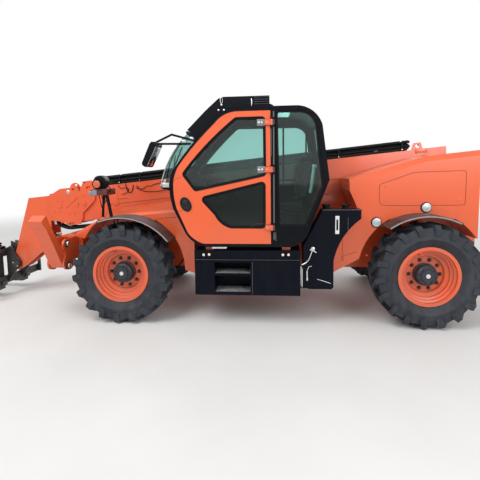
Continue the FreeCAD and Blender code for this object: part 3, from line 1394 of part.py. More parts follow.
def make_cab_fittings():
    """Seat, dashboard with its steering wheel, and the mirror on two rods before the cab."""
    floor = S.cab_floor_z + S.cab_skin
    centre = -S.cab_side + S.cab_width / 2
    pan = floor + S.seat_pan_rise
    cushion_top = pan + S.seat_cushion_wall
    crown = S.cab_top_z - S.seat_headroom
    half = S.seat_width / 2
    base = box("seat_base", as_size(-20), as_size(200), centre - half + 50, centre + half - 50, floor, pan)
    cushion = box("seat_cushion", as_size(-80), as_size(400), centre - half, centre + half, pan, cushion_top)
    rest = pad("seat_back", "XZ", [
        (as_size(300), cushion_top - 10), (as_size(400), cushion_top - 10), (as_size(500), crown),
        (as_size(410), crown),
    ], centre - half + 20, centre + half - 20)
    node("seat", fuse("seat_whole", base, cushion, rest))
    hub_x = S.wheel_x
    top = floor + S.dash_rise
    console = pad("dash_block", "XZ", [
        (hub_x - 20, floor), (hub_x + 40, floor), (hub_x, top - 100), (hub_x + 60, top - 50),
        (hub_x + 30, top), (hub_x - 160, top), (hub_x - 195, top - 220), (hub_x - 100, floor + 60),
    ], centre - S.dash_width / 2, centre + S.dash_width / 2)
    column = rod("steering_column", "z", 26, top - 5, top + 120, hub_x, centre)
    wheel = doc.addObject("Part::Torus", "steering_rim")
    bind(wheel, "Radius1", S.wheel_rim_radius)
    bind(wheel, "Radius2", S.wheel_rim_wall)
    place(wheel, hub_x, centre, top + 120)
    spokes = box("steering_spokes", hub_x - S.wheel_rim_radius, hub_x + S.wheel_rim_radius, centre - 18,
                 centre + 18, top + 112, top + 128)
    node("dashboard", fuse("dash_whole", console, column, wheel, spokes))
    side = -S.cab_side + S.cab_wall - 6
    elbow_x = S.mirror_elbow_x
    elbow_z = S.mirror_elbow_z
    arms = [
        strut("mirror_stay", S.mirror_rod, (S.cab_brow_x + 200, elbow_z - 8), (elbow_x, elbow_z), side),
        strut("mirror_brace", S.mirror_rod, (S.cab_brow_x + 260, elbow_z + 20),
              (elbow_x + 217, elbow_z + 98), side),
        strut("mirror_tie", S.mirror_rod, (elbow_x, elbow_z), (elbow_x + 222, elbow_z + 100), side),
    ]
    head = pad("mirror_head", "XZ", [
        (elbow_x - 10, elbow_z - 7), (elbow_x + 12, elbow_z + 17), (elbow_x + 60, elbow_z + 13),
        (elbow_x + 64, elbow_z - 15), (elbow_x - 53, elbow_z - 249), (elbow_x - 70, elbow_z - 257),
        (elbow_x - 100, elbow_z - 237), (elbow_x - 104, elbow_z - 213),
    ], side - 96, side + 144)
    rods = fuse("mirror_rods", *arms)
    trimmed = cut("mirror_rods_trimmed", rods,
                  pad("mirror_seat", "XZ", cab_outline(-S.pad_clearance), side - 40, side + 40),
                  pad("mirror_roof_seat", "XZ", roof_outline(S.pad_clearance), side - 42, side + 42))
    node("mirror", fuse("mirror_whole", trimmed, head))


def make_step_box():
    """A folded box below the door, with a lip along its side and two toothed treads."""
    side = -S.step_side
    block = box("step_block", -S.step_front_x, S.step_rear_x, side, side + S.step_depth,
                S.step_low_z, S.step_top_z)
    recess = box("step_recess", -S.recess_front_x, -S.recess_rear_x, side - 20,
                 side + S.recess_depth, S.recess_low_z, S.recess_top_z)
    lip = box("step_lip", -S.step_front_x, S.step_rear_x, side - S.lip_wall, side + 1,
              S.lip_z - S.lip_wall, S.lip_z + S.lip_wall)
    tread = box("step_tread", -S.recess_front_x - 1, -S.recess_rear_x + 1, side + 4,
                side + S.recess_depth + 1, S.tread_z - S.tread_wall, S.tread_z)
    notches = []
    pitch = S.tread_tooth * 2
    count = int(float(S.recess_front_x - S.recess_rear_x) / float(pitch))
    for index in range(count):
        x = -S.recess_front_x + 14 + index * pitch
        notches.append(box("tread_notch_%d" % index, x, x + S.tread_tooth, side - 20, side + 4 + S.tread_tooth,
                           S.tread_z - S.tread_wall - 5, S.tread_z + 5))
    toothed = cut("step_tread_toothed", tread, *notches)
    node("step_box", fuse("step_whole", cut("step_open", block, recess), lip, toothed))


def make_tank():
    foot = S.tank_foot_x
    tank = pad("tank_block", "XZ", [
        (S.tank_front_x, S.tank_low_z), (foot, S.tank_low_z + 8),
        (foot, S.tank_waist_z, S.tank_curve, 1), (S.tank_rear_x, S.tank_lip_z),
        (S.tank_rear_x, S.tank_top_z), (S.tank_front_x + 212, S.tank_top_z),
        (S.tank_front_x + 66, S.cab_floor_z + 120), (S.tank_front_x + 6, S.cab_floor_z + 10),
    ], -S.tank_side, -S.panel_side)
    lip = box("tank_lip", S.tank_front_x + 206, S.tank_rear_x + S.lip_wall, -S.tank_side - S.lip_wall,
              -S.panel_side, S.tank_top_z, S.tank_top_z + S.lip_wall)
    caps = [
        rod("tank_cap_%d" % index, "z", 36, S.tank_top_z - 1, S.tank_top_z + 55, x, -S.tank_side + 150)
        for index, x in enumerate((S.tank_front_x + 268, S.tank_front_x + 488))
    ]
    node("oil_tank", fuse("tank_whole", tank, lip, *caps))


def hood_hinges():
    return -S.hood_front_x + 250, S.hood_rear_x - 250


def make_engine_side():
    front = -S.hood_front_x
    rear = S.hood_rear_x
    inner = S.hood_inner
    outer = S.hood_outer
    low = S.hood_low_z
    top = S.hood_top_z
    wall = S.hood_wall
    section = [
        (inner, low), (outer, low), (outer, top - 190), (outer - 70, top - 60), (outer - 260, top),
        (inner, top),
    ]
    inside = [
        (inner - 20, low - 20), (outer - wall, low - 20), (outer - wall, top - 190),
        (outer - 70 - wall * 0.7, top - 60 - wall * 0.7), (outer - 260, top - wall),
        (inner - 20, top - wall),
    ]
    block = pad("hood_block", "YZ", section, front, rear)
    hollow = pad("hood_hollow", "YZ", inside, front + wall, rear - wall)
    slots = []
    for index in range(7):
        z = low + 120 + index * 52
        slots.append(box("hood_slot_%d" % index, front + 220, front + 900, outer - 60, outer + 20,
                         z, z + 26))
    barrels = []
    bores = []
    for index, x in enumerate(hood_hinges()):
        barrels.append(rod("hood_barrel_%d" % index, "x", S.hinge_radius, x - 60, x + 60,
                           inner - 4, top + S.hinge_radius))
        barrels.append(box("hood_strap_%d" % index, x - 60, x + 60, inner - 4, inner + 60,
                           top - 1, top + 12))
        bores.append(rod("hood_bore_%d" % index, "x", S.hinge_pin_radius + S.pad_clearance,
                         x - 70, x + 70, inner - 4, top + S.hinge_radius))
    hood = fuse("hood_whole", cut("hood_open", block, hollow, *slots), *barrels)
    node("engine_hood", cut("hood_bored", hood, *bores))
    centre_x = (front + rear) / 2
    engine = box("engine_core", centre_x - S.engine_length / 2, centre_x + S.engine_length / 2,
                 inner + 60, inner + 60 + S.engine_width, low - 20, low - 20 + S.engine_height)
    node("engine_block", engine)
    skirt = box("skirt_block", front, rear, plate_half + S.plate_wall, outer - 20,
                S.chassis_low + 40, low - 90)
    node("side_skirt", skirt)


def make_lamps():
    """Front lamps on a shelf with two posts, side lamps on the rear covers, and tail lamps."""
    drums = []
    posts = []
    y = -S.lamp_y
    shelf_top = S.lamp_shelf_z
    shelf_low = shelf_top - S.lamp_shelf_wall
    head_x = S.lamp_head_x
    outer = S.mudguard_radius + S.mudguard_wall + S.pad_clearance
    outer_post = cut("lamp_post_outer", strut(
        "lamp_post_bar", S.lamp_post_radius, (S.lamp_foot_x, shelf_low - 320), (head_x, shelf_low + 5), y),
        rod("lamp_post_seat", "y", outer, y - 60, y + 60, axle_x["front"] + S.mudguard_shift, S.mudguard_z))
    inner_post = strut("lamp_post_inner", S.lamp_post_radius * 0.8,
                       (head_x - 145, S.brow_edge - 20), (head_x - 120, shelf_low + 5), y + 180)
    shelf = box("lamp_shelf", head_x - 150, head_x + 20, y - 45, y + 200, shelf_low, shelf_top)
    posts.append(fuse("lamp_stand", outer_post, inner_post, shelf))
    drum = turned("lamp_drum", [
        (-S.lamp_drum_half, 0), (-S.lamp_drum_half, S.lamp_drum_radius - 20),
        (-S.lamp_drum_half + 22, S.lamp_drum_radius), (S.lamp_drum_half - 22, S.lamp_drum_radius),
        (S.lamp_drum_half, S.lamp_drum_radius - 20), (S.lamp_drum_half, 0),
    ])
    lens = rod("lamp_lens", "y", S.lamp_lens_radius, -S.lamp_drum_half - 16, -S.lamp_drum_half + 1, -16, -20)
    whole = fuse("lamp_drum_whole", drum, lens)
    place(whole, head_x - 63, y, shelf_top + S.lamp_drum_radius + S.pad_clearance)
    lamp = pad("work_lamp", "XZ", [
        (head_x - 200, shelf_low + 20), (head_x - 185, shelf_low - 5), (head_x - 150.3, shelf_low - 5),
        (head_x - 150.3, shelf_top - 14), (head_x - 172, shelf_top - 14),
    ], y - 45, y + 45)
    drums += [whole, lamp]
    posts.append(mirrored("lamp_stand_right", posts[0]))
    drums += [mirrored("lamp_drum_right", whole), mirrored("work_lamp_right", lamp)]
    node("lamp_posts", group("lamp_posts_pair", *posts))
    node("front_lamps", group("front_lamps_pair", *drums))
    disc = []
    for index, (x, z) in enumerate(((1219, 1155), (1761, 1322))):
        for side, sign in (("left", -1), ("right", 1)):
            y0, y1 = (-S.panel_side - 22, -S.panel_side) if sign < 0 else (S.panel_side, S.panel_side + 22)
            disc.append(rod("side_lamp_%d_%s" % (index, side), "y", 50, y0, y1, as_size(x), as_size(z)))
    node("side_lamps", group("side_lamps_set", *disc))
    tails = []
    for side, sign in (("left", -1), ("right", 1)):
        y = sign * (S.bumper_half + 10)
        tails.append(box("tail_lamp_" + side, S.chassis_rear, S.chassis_rear + 40, y - 110, y + 110,
                         S.bumper_top_z + 110, S.bumper_top_z + 210))
    node("tail_lamps", group("tail_lamps_pair", *tails))


def make_rear():
    rear = S.chassis_rear
    beam = pad("bumper_beam", "XY", [
        (rear, -S.bumper_half), (rear + S.bumper_depth - 40, -S.bumper_half),
        (rear + S.bumper_depth, -S.bumper_half + 120), (rear + S.bumper_depth, S.bumper_half - 120),
        (rear + S.bumper_depth - 40, S.bumper_half), (rear, S.bumper_half),
    ], S.bumper_low_z, S.bumper_top_z)
    mouth = box("hitch_mouth", rear + 20, rear + S.bumper_depth + 20, -70, 70,
                S.bumper_low_z + 60, S.bumper_low_z + 160)
    bore = rod("hitch_bore", "z", S.hitch_bore / 2, S.bumper_low_z - 10, S.bumper_low_z + 230,
               rear + 90, 0)
    node("rear_bumper", cut("bumper_open", beam, mouth, bore))


make_wheels()
make_axles()
make_frame()
make_panels()
make_mudguards()
make_stabilizers()
make_legs()
make_boom()
make_carriage()
make_cylinders()
make_cab()
make_cab_fittings()
make_step_box()
make_tank()
make_engine_side()
make_lamps()
make_rear()
doc.recompute()

faults = []
for thing in doc.Objects:
    if "Invalid" in thing.State or "Error" in thing.State:
        faults.append("%s: %s" % (thing.Name, thing.State))
for label, thing in NODES.items():
    if thing.Shape.isNull() or not thing.Shape.isValid() or not thing.Shape.Solids:
        faults.append("%s has no valid solid" % label)
if faults:
    raise RuntimeError("; ".join(faults))

os.makedirs("parts", exist_ok=True)
for label, thing in NODES.items():
    thing.Shape.exportStep("parts/%s.step" % label)
print("nodes", len(NODES))
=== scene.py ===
import math

import bpy
from mathutils import Euler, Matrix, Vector


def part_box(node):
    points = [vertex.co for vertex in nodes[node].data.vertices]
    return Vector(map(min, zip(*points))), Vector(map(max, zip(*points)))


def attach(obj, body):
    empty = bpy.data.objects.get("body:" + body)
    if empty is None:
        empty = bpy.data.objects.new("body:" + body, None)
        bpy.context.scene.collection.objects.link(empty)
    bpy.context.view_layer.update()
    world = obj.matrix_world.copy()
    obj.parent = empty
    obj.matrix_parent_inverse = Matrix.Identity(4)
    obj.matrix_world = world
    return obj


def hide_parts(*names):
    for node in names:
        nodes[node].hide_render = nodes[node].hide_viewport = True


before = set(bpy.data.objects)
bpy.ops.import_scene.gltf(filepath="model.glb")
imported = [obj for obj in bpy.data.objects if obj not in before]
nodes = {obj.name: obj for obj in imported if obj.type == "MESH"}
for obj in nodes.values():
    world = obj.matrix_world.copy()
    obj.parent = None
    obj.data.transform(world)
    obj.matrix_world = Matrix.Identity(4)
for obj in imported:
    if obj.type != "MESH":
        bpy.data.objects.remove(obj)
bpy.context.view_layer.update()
bpy.ops.object.select_all(action="DESELECT")

# The machine stands on a plain pale floor, seen from its left side at eye height, a little
# towards its front. Places are counted from the middle of the wheelbase, on the ground.
wheel_boxes = {end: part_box("tyre_%s_left" % end) for end in ("front", "rear")}
wheel_x = {end: (low.x + high.x) / 2 for end, (low, high) in wheel_boxes.items()}
middle = (wheel_x["front"] + wheel_x["rear"]) / 2
view_yaw = math.radians(-5.2)
view_pitch = math.radians(5.8)
view_roll = math.radians(-0.8)
ahead = Vector((math.sin(view_yaw) * math.cos(view_pitch), math.cos(view_yaw) * math.cos(view_pitch),
                -math.sin(view_pitch)))
bpy.ops.object.camera_add(location=(middle + 0.065, -5.315, 1.715))
camera = bpy.context.object
camera.rotation_mode = "QUATERNION"
turned = ahead.to_track_quat("-Z", "Y")
camera.rotation_quaternion = turned @ Euler((0, 0, view_roll)).to_quaternion()
camera.data.sensor_width = 36
camera.data.lens = 28.5
camera.data.shift_x = -0.001
camera.data.shift_y = -0.055
camera.data.clip_end = 200
bpy.context.scene.camera = camera
bpy.context.scene.view_settings.view_transform = "Standard"

bpy.ops.mesh.primitive_circle_add(vertices=96, radius=60, fill_type="NGON", location=(0, 0, 0))
floor = bpy.context.object
floor.name = "pale_floor"
concrete = bpy.data.materials.new("pale_concrete")
concrete.use_nodes = True
tree = concrete.node_tree
shader = tree.nodes["Principled BSDF"]
shader.inputs["Roughness"].default_value = 0.75
shader.inputs["Specular IOR Level"].default_value = 0.2
where = tree.nodes.new("ShaderNodeTexCoord")
clouds = tree.nodes.new("ShaderNodeTexNoise")
clouds.inputs["Scale"].default_value = 0.7
clouds.inputs["Detail"].default_value = 6
tones = tree.nodes.new("ShaderNodeValToRGB")
tones.color_ramp.elements[0].position = 0.3
tones.color_ramp.elements[0].color = (0.70, 0.70, 0.69, 1)
tones.color_ramp.elements[1].position = 0.7
tones.color_ramp.elements[1].color = (0.77, 0.77, 0.76, 1)
tree.links.new(where.outputs["Object"], clouds.inputs["Vector"])
tree.links.new(clouds.outputs["Fac"], tones.inputs["Fac"])
tree.links.new(tones.outputs["Color"], shader.inputs["Base Color"])
far_off = tree.nodes.new("ShaderNodeVectorMath")
far_off.operation = "LENGTH"
fade = tree.nodes.new("ShaderNodeMapRange")
fade.interpolation_type = "SMOOTHSTEP"
fade.inputs["From Min"].default_value = 5.5
fade.inputs["From Max"].default_value = 17.0
straight = tree.nodes.new("ShaderNodeLightPath")
share = tree.nodes.new("ShaderNodeMath")
share.operation = "MULTIPLY"
white = tree.nodes.new("ShaderNodeEmission")
white.inputs["Color"].default_value = (1, 1, 1, 1)
mixed = tree.nodes.new("ShaderNodeMixShader")
tree.links.new(where.outputs["Object"], far_off.inputs[0])
tree.links.new(far_off.outputs["Value"], fade.inputs["Value"])
tree.links.new(fade.outputs["Result"], share.inputs[0])
tree.links.new(straight.outputs["Is Camera Ray"], share.inputs[1])
tree.links.new(share.outputs[0], mixed.inputs[0])
tree.links.new(shader.outputs[0], mixed.inputs[1])
tree.links.new(white.outputs[0], mixed.inputs[2])
tree.links.new(mixed.outputs[0], tree.nodes["Material Output"].inputs["Surface"])
floor.data.materials.append(concrete)

studio = bpy.data.worlds.new("white_studio")
bpy.context.scene.world = studio
studio.use_nodes = True
tree = studio.node_tree
backdrop = tree.nodes["Background"]
backdrop.inputs["Color"].default_value = (1, 1, 1, 1)
ray = tree.nodes.new("ShaderNodeLightPath")
seen = tree.nodes.new("ShaderNodeMath")
seen.operation = "MAXIMUM"
through = tree.nodes.new("ShaderNodeMath")
through.operation = "MAXIMUM"
level = tree.nodes.new("ShaderNodeMapRange")
level.inputs["To Min"].default_value = 0.52
level.inputs["To Max"].default_value = 1.0
tree.links.new(ray.outputs["Is Camera Ray"], seen.inputs[0])
tree.links.new(ray.outputs["Is Glossy Ray"], seen.inputs[1])
tree.links.new(seen.outputs[0], through.inputs[0])
tree.links.new(ray.outputs["Is Transmission Ray"], through.inputs[1])
tree.links.new(through.outputs[0], level.inputs["Value"])
tree.links.new(level.outputs["Result"], backdrop.inputs["Strength"])
for lamp_name, spot, aim, width, watts in (
        ("roof_light", (-3.5, -5.5, 8.0), (0, 0, 1.0), 6.0, 620),
        ("side_light", (5.5, -6.5, 4.0), (0.5, 0, 1.2), 4.0, 230),
        ("back_light", (1.0, 7.5, 6.0), (0, 0, 1.0), 6.0, 330)):
    bpy.ops.object.light_add(type="AREA", location=spot)
    lamp = bpy.context.object
    lamp.name = lamp_name
    lamp.data.energy = watts
    lamp.data.size = width
    lamp.rotation_euler = (Vector(aim) - Vector(spot)).to_track_quat("-Z", "Y").to_euler()

# Wheels: black cross-lugged tyres on orange dished steel rims. Each hub is a black planetary
# gear drum with a cap painted pale as a highlight, and ten studs with dark nuts hold the rim's disc.
skin = bpy.data.node_groups.new("weathered_skin", "ShaderNodeTree")
for label, kind, default in (
        ("Colour", "NodeSocketColor", (0.8, 0.8, 0.8, 1)), ("Dirt Colour", "NodeSocketColor", (0.2, 0.17, 0.14, 1)),
        ("Dirt", "NodeSocketFloat", 0.3), ("Roughness", "NodeSocketFloat", 0.4),
        ("Grain", "NodeSocketFloat", 300.0), ("Patch", "NodeSocketFloat", 2.5)):
    socket = skin.interface.new_socket(name=label, in_out="INPUT", socket_type=kind)
    socket.default_value = default
for label, kind in (("Colour", "NodeSocketColor"), ("Roughness", "NodeSocketFloat"),
                    ("Height", "NodeSocketFloat"), ("Dirt", "NodeSocketFloat")):
    skin.interface.new_socket(name=label, in_out="OUTPUT", socket_type=kind)
given = skin.nodes.new("NodeGroupInput")
result = skin.nodes.new("NodeGroupOutput")
where = skin.nodes.new("ShaderNodeTexCoord")
facing = skin.nodes.new("ShaderNodeNewGeometry")
patches = skin.nodes.new("ShaderNodeTexNoise")
patches.inputs["Detail"].default_value = 8
patches.inputs["Roughness"].default_value = 0.62
stretch = skin.nodes.new("ShaderNodeMapping")
stretch.inputs["Scale"].default_value = (14, 14, 1.3)
runs = skin.nodes.new("ShaderNodeTexNoise")
runs.inputs["Scale"].default_value = 1.0
runs.inputs["Detail"].default_value = 5
fine = skin.nodes.new("ShaderNodeTexNoise")
fine.inputs["Detail"].default_value = 3
upward = skin.nodes.new("ShaderNodeSeparateXYZ")
place = skin.nodes.new("ShaderNodeSeparateXYZ")
low_down = skin.nodes.new("ShaderNodeMapRange")
low_down.inputs["From Min"].default_value = 0.2
low_down.inputs["From Max"].default_value = 1.5
low_down.inputs["To Min"].default_value = 0.75
low_down.inputs["To Max"].default_value = 0.12
lying = skin.nodes.new("ShaderNodeMapRange")
lying.inputs["From Min"].default_value = 0.3
lying.inputs["From Max"].default_value = 1.0
lying.inputs["To Max"].default_value = 0.55
gathered = skin.nodes.new("ShaderNodeMath")
gathered.operation = "MAXIMUM"
mottled = skin.nodes.new("ShaderNodeMapRange")
mottled.inputs["From Min"].default_value = 0.35
mottled.inputs["From Max"].default_value = 0.72
streaked = skin.nodes.new("ShaderNodeMapRange")
streaked.inputs["From Min"].default_value = 0.42
streaked.inputs["From Max"].default_value = 0.75
both = skin.nodes.new("ShaderNodeMath")
both.operation = "ADD"
weighed = skin.nodes.new("ShaderNodeMath")
weighed.operation = "MULTIPLY"
amount = skin.nodes.new("ShaderNodeMath")
amount.operation = "MULTIPLY"
amount.use_clamp = True
faded = skin.nodes.new("ShaderNodeMix")
faded.data_type = "RGBA"
faded.blend_type = "MULTIPLY"
faded.inputs[7].default_value = (0.86, 0.84, 0.83, 1)
dirty = skin.nodes.new("ShaderNodeMix")
dirty.data_type = "RGBA"
dulled = skin.nodes.new("ShaderNodeMapRange")
dulled.inputs["To Max"].default_value = 0.85
for source, target in (
        (where.outputs["Object"], patches.inputs["Vector"]), (given.outputs["Patch"], patches.inputs["Scale"]),
        (where.outputs["Object"], stretch.inputs["Vector"]), (stretch.outputs["Vector"], runs.inputs["Vector"]),
        (where.outputs["Object"], fine.inputs["Vector"]), (given.outputs["Grain"], fine.inputs["Scale"]),
        (facing.outputs["Normal"], upward.inputs["Vector"]), (where.outputs["Object"], place.inputs["Vector"]),
        (place.outputs["Z"], low_down.inputs["Value"]), (upward.outputs["Z"], lying.inputs["Value"]),
        (low_down.outputs["Result"], gathered.inputs[0]), (lying.outputs["Result"], gathered.inputs[1]),
        (patches.outputs["Fac"], mottled.inputs["Value"]), (runs.outputs["Fac"], streaked.inputs["Value"]),
        (mottled.outputs["Result"], both.inputs[0]), (streaked.outputs["Result"], both.inputs[1]),
        (both.outputs[0], weighed.inputs[0]), (gathered.outputs[0], weighed.inputs[1]),
        (weighed.outputs[0], amount.inputs[0]), (given.outputs["Dirt"], amount.inputs[1]),
        (patches.outputs["Fac"], faded.inputs[0]), (given.outputs["Colour"], faded.inputs[6]),
        (amount.outputs[0], dirty.inputs[0]), (faded.outputs[2], dirty.inputs[6]),
        (given.outputs["Dirt Colour"], dirty.inputs[7]), (amount.outputs[0], dulled.inputs["Value"]),
        (given.outputs["Roughness"], dulled.inputs["To Min"]), (dirty.outputs[2], result.inputs["Colour"]),
        (dulled.outputs["Result"], result.inputs["Roughness"]), (fine.outputs["Fac"], result.inputs["Height"]),
        (amount.outputs[0], result.inputs["Dirt"])):
    skin.links.new(source, target)


def weathered(name, colour, roughness, dirt, grain=300.0, bump=0.02, metal=0.0, coat=0.0,
              dirt_colour=(0.23, 0.19, 0.15), patch=2.5, shine=0.5):
    """A finish that is duller and dirtier low down and on its upper faces."""
    finish = bpy.data.materials.new(name)
    finish.use_nodes = True
    tree = finish.node_tree
    shader = tree.nodes["Principled BSDF"]
    shader.inputs["Metallic"].default_value = metal
    shader.inputs["Coat Weight"].default_value = coat
    shader.inputs["Coat Roughness"].default_value = 0.12
    shader.inputs["Specular IOR Level"].default_value = shine
    worn = tree.nodes.new("ShaderNodeGroup")
    worn.node_tree = skin
    worn.inputs["Colour"].default_value = (*colour, 1)
    worn.inputs["Dirt Colour"].default_value = (*dirt_colour, 1)
    worn.inputs["Dirt"].default_value = dirt
    worn.inputs["Roughness"].default_value = roughness
    worn.inputs["Grain"].default_value = grain
    worn.inputs["Patch"].default_value = patch
    dimple = tree.nodes.new("ShaderNodeBump")
    dimple.inputs["Strength"].default_value = 0.35
    dimple.inputs["Distance"].default_value = bump / 10
    tree.links.new(worn.outputs["Colour"], shader.inputs["Base Color"])
    tree.links.new(worn.outputs["Roughness"], shader.inputs["Roughness"])
    tree.links.new(worn.outputs["Height"], dimple.inputs["Height"])
    tree.links.new(dimple.outputs["Normal"], shader.inputs["Normal"])
    return finish


def dress(finish, *names):
    for name in names:
        nodes[name].data.materials.clear()
        nodes[name].data.materials.append(finish)


orange = weathered("orange_gloss_paint", (0.80, 0.112, 0.026), 0.28, 0.16, coat=0.5)
rim_orange = weathered("rim_orange_paint", (0.78, 0.105, 0.026), 0.32, 0.4, coat=0.3)
hub_black = weathered("hub_black_paint", (0.022, 0.026, 0.036), 0.36, 0.25,
                      dirt_colour=(0.09, 0.095, 0.105), shine=0.35)
nut_steel = weathered("nut_dark_steel", (0.035, 0.033, 0.032), 0.45, 0.4, metal=0.7, bump=0.03)
cap_steel = weathered("cap_bright_steel", (0.72, 0.72, 0.70), 0.22, 0.1, metal=1.0)
# The hub caps are pale grey: a painted highlight on each cap's centre.
cap_painted_highlight = weathered("hub_cap_pale", (0.70, 0.70, 0.68), 0.3, 0.1)


def tyre_rubber(name, centre):
    """Black rubber with fine rings round its sidewall and dust on it; its blue cast and the blue-grey of its dust are
    partly painted sky light.
    """
    rubber = weathered(name, (0.018, 0.022, 0.029), 0.55, 0.45, grain=160, bump=0.12,
                       dirt_colour=(0.085, 0.092, 0.105), patch=6)
    tree = rubber.node_tree
    shader = tree.nodes["Principled BSDF"]
    shader.inputs["Specular IOR Level"].default_value = 0.3
    where = tree.nodes.new("ShaderNodeTexCoord")
    centred = tree.nodes.new("ShaderNodeMapping")
    centred.inputs["Location"].default_value = (-centre.x, 0, -centre.z)
    centred.inputs["Scale"].default_value = (1, 0, 1)
    reach = tree.nodes.new("ShaderNodeVectorMath")
    reach.operation = "LENGTH"
    rings = tree.nodes.new("ShaderNodeMath")
    rings.operation = "MULTIPLY"
    rings.inputs[1].default_value = 520
    wave = tree.nodes.new("ShaderNodeMath")
    wave.operation = "SINE"
    band = tree.nodes.new("ShaderNodeMapRange")
    band.interpolation_type = "SMOOTHSTEP"
    band.inputs["From Min"].default_value = 0.415
    band.inputs["From Max"].default_value = 0.405
    groove = tree.nodes.new("ShaderNodeMath")
    groove.operation = "MULTIPLY"
    ridge = tree.nodes.new("ShaderNodeBump")
    ridge.inputs["Strength"].default_value = 0.5
    ridge.inputs["Distance"].default_value = 0.0015
    old = tree.nodes["Bump"]
    for source, target in (
            (where.outputs["Object"], centred.inputs["Vector"]), (centred.outputs["Vector"], reach.inputs[0]),
            (reach.outputs["Value"], rings.inputs[0]), (rings.outputs[0], wave.inputs[0]),
            (reach.outputs["Value"], band.inputs["Value"]), (wave.outputs[0], groove.inputs[0]),
            (band.outputs["Result"], groove.inputs[1]), (groove.outputs[0], ridge.inputs["Height"]),
            (old.outputs["Normal"], ridge.inputs["Normal"]), (ridge.outputs["Normal"], shader.inputs["Normal"])):
        tree.links.new(source, target)
    return rubber


def join(pieces):
    bpy.ops.object.select_all(action="DESELECT")
    for piece in pieces:
        piece.select_set(True)
    bpy.context.view_layer.objects.active = pieces[0]
    bpy.ops.object.join()
    return bpy.context.object


def mount(piece, name, finish, body, angle=35):
    """Names a finished piece, keeps its place in its mesh and lets it ride on its body."""
    bpy.ops.object.select_all(action="DESELECT")
    piece.select_set(True)
    bpy.context.view_layer.objects.active = piece
    bpy.ops.object.transform_apply(location=True, rotation=True, scale=True)
    bpy.ops.object.shade_smooth_by_angle(angle=math.radians(angle))
    piece.name = name
    piece.data.name = name
    if finish is not None:
        piece.data.materials.clear()
        piece.data.materials.append(finish)
    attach(piece, body)
    return piece


def edge_bevel(piece, width, segments=2, limit=40):
    """Breaks the sharp edges of a piece, as pressed, cast or turned metal has them."""
    soften = piece.modifiers.new("broken_edges", "BEVEL")
    soften.width = width
    soften.segments = segments
    soften.limit_method = "ANGLE"
    soften.angle_limit = math.radians(limit)
    bpy.context.view_layer.objects.active = piece
    bpy.ops.object.modifier_apply(modifier=soften.name)
    return piece


def at(x, y, z):
    """A place in millimetres, counted from the middle of the wheelbase, on the ground."""
    return Vector((middle + x / 1000, y / 1000, z / 1000))


def pick_faces(piece, wanted):
    """Goes into edit mode with only the faces of a piece that answer a test."""
    bpy.ops.object.select_all(action="DESELECT")
    piece.select_set(True)
    bpy.context.view_layer.objects.active = piece
    bpy.ops.object.mode_set(mode="EDIT")
    bpy.ops.mesh.select_mode(type="FACE")
    bpy.ops.mesh.select_all(action="DESELECT")
    bpy.ops.object.mode_set(mode="OBJECT")
    for face in piece.data.polygons:
        face.select = wanted(face)
    bpy.ops.object.mode_set(mode="EDIT")


def turned(spot, facing, steps, sides=32):
    """A round part as a lathe makes it: each step is a radius and how far it stands out."""
    facing = Vector(facing)
    foot = at(*spot)
    radius, out = steps[0]
    bpy.ops.mesh.primitive_cylinder_add(vertices=sides, radius=radius / 1000, depth=out / 1000,
                                        location=foot + facing * out / 2000,
                                        rotation=facing.to_track_quat("Z", "Y").to_euler())
    piece = bpy.context.object
    bpy.ops.object.transform_apply(location=True, rotation=True, scale=True)
    face_at = (foot + facing * out / 1000).dot(facing)
    pick_faces(piece, lambda face: face.normal.dot(facing) > 0.99 and abs(face.center.dot(facing) - face_at) < 1e-4)
    for (radius, out), (next_radius, next_out) in zip(steps, steps[1:]):
        bpy.ops.mesh.extrude_region_move(TRANSFORM_OT_translate={"value": facing * (next_out - out) / 1000})
        if next_radius != radius:
            bpy.ops.transform.resize(value=(next_radius / radius,) * 3,
                                     center_override=foot + facing * next_out / 1000)
    bpy.ops.object.mode_set(mode="OBJECT")
    return piece


def block(low, high, edge=2, steps=2):
    """A bar or plate between two corners in millimetres, its edges broken."""
    start, end = at(*low), at(*high)
    bpy.ops.mesh.primitive_cube_add(size=1, location=(start + end) / 2)
    piece = bpy.context.object
    piece.scale = (end.x - start.x, end.y - start.y, end.z - start.z)
    bpy.ops.object.transform_apply(location=False, rotation=False, scale=True)
    return edge_bevel(piece, edge / 1000, steps)


def bar(start, end, width, height, edge=1.5):
    """A flat bar between two places: width across the machine, height at right angles to both."""
    start, end = at(*start), at(*end)
    run = end - start
    bpy.ops.mesh.primitive_cube_add(size=1)
    piece = bpy.context.object
    piece.scale = (run.length, width / 1000, height / 1000)
    bpy.ops.object.transform_apply(location=False, rotation=False, scale=True)
    edge_bevel(piece, edge / 1000, 2)
    piece.rotation_mode = "QUATERNION"
    piece.rotation_quaternion = run.to_track_quat("X", "Z")
    piece.location = (start + end) / 2
    return piece


def hose(route, radius, straight=False, sides=3, closed=False):
    """A hose, wire or bead of round section along a line through places in millimetres."""
    line = bpy.data.curves.new("route", "CURVE")
    line.dimensions = "3D"
    spline = line.splines.new("POLY" if straight else "NURBS")
    spline.points.add(len(route) - 1)
    for point, spot in zip(spline.points, route):
        point.co = (*at(*spot), 1)
    spline.use_cyclic_u = closed
    if not straight:
        spline.order_u = 3
        spline.use_endpoint_u = not closed
        spline.resolution_u = 8
    line.bevel_depth = radius / 1000
    line.bevel_resolution = sides
    line.use_fill_caps = True
    piece = bpy.data.objects.new("route", line)
    bpy.context.collection.objects.link(piece)
    bpy.ops.object.select_all(action="DESELECT")
    piece.select_set(True)
    bpy.context.view_layer.objects.active = piece
    bpy.ops.object.convert(target="MESH")
    return bpy.context.object


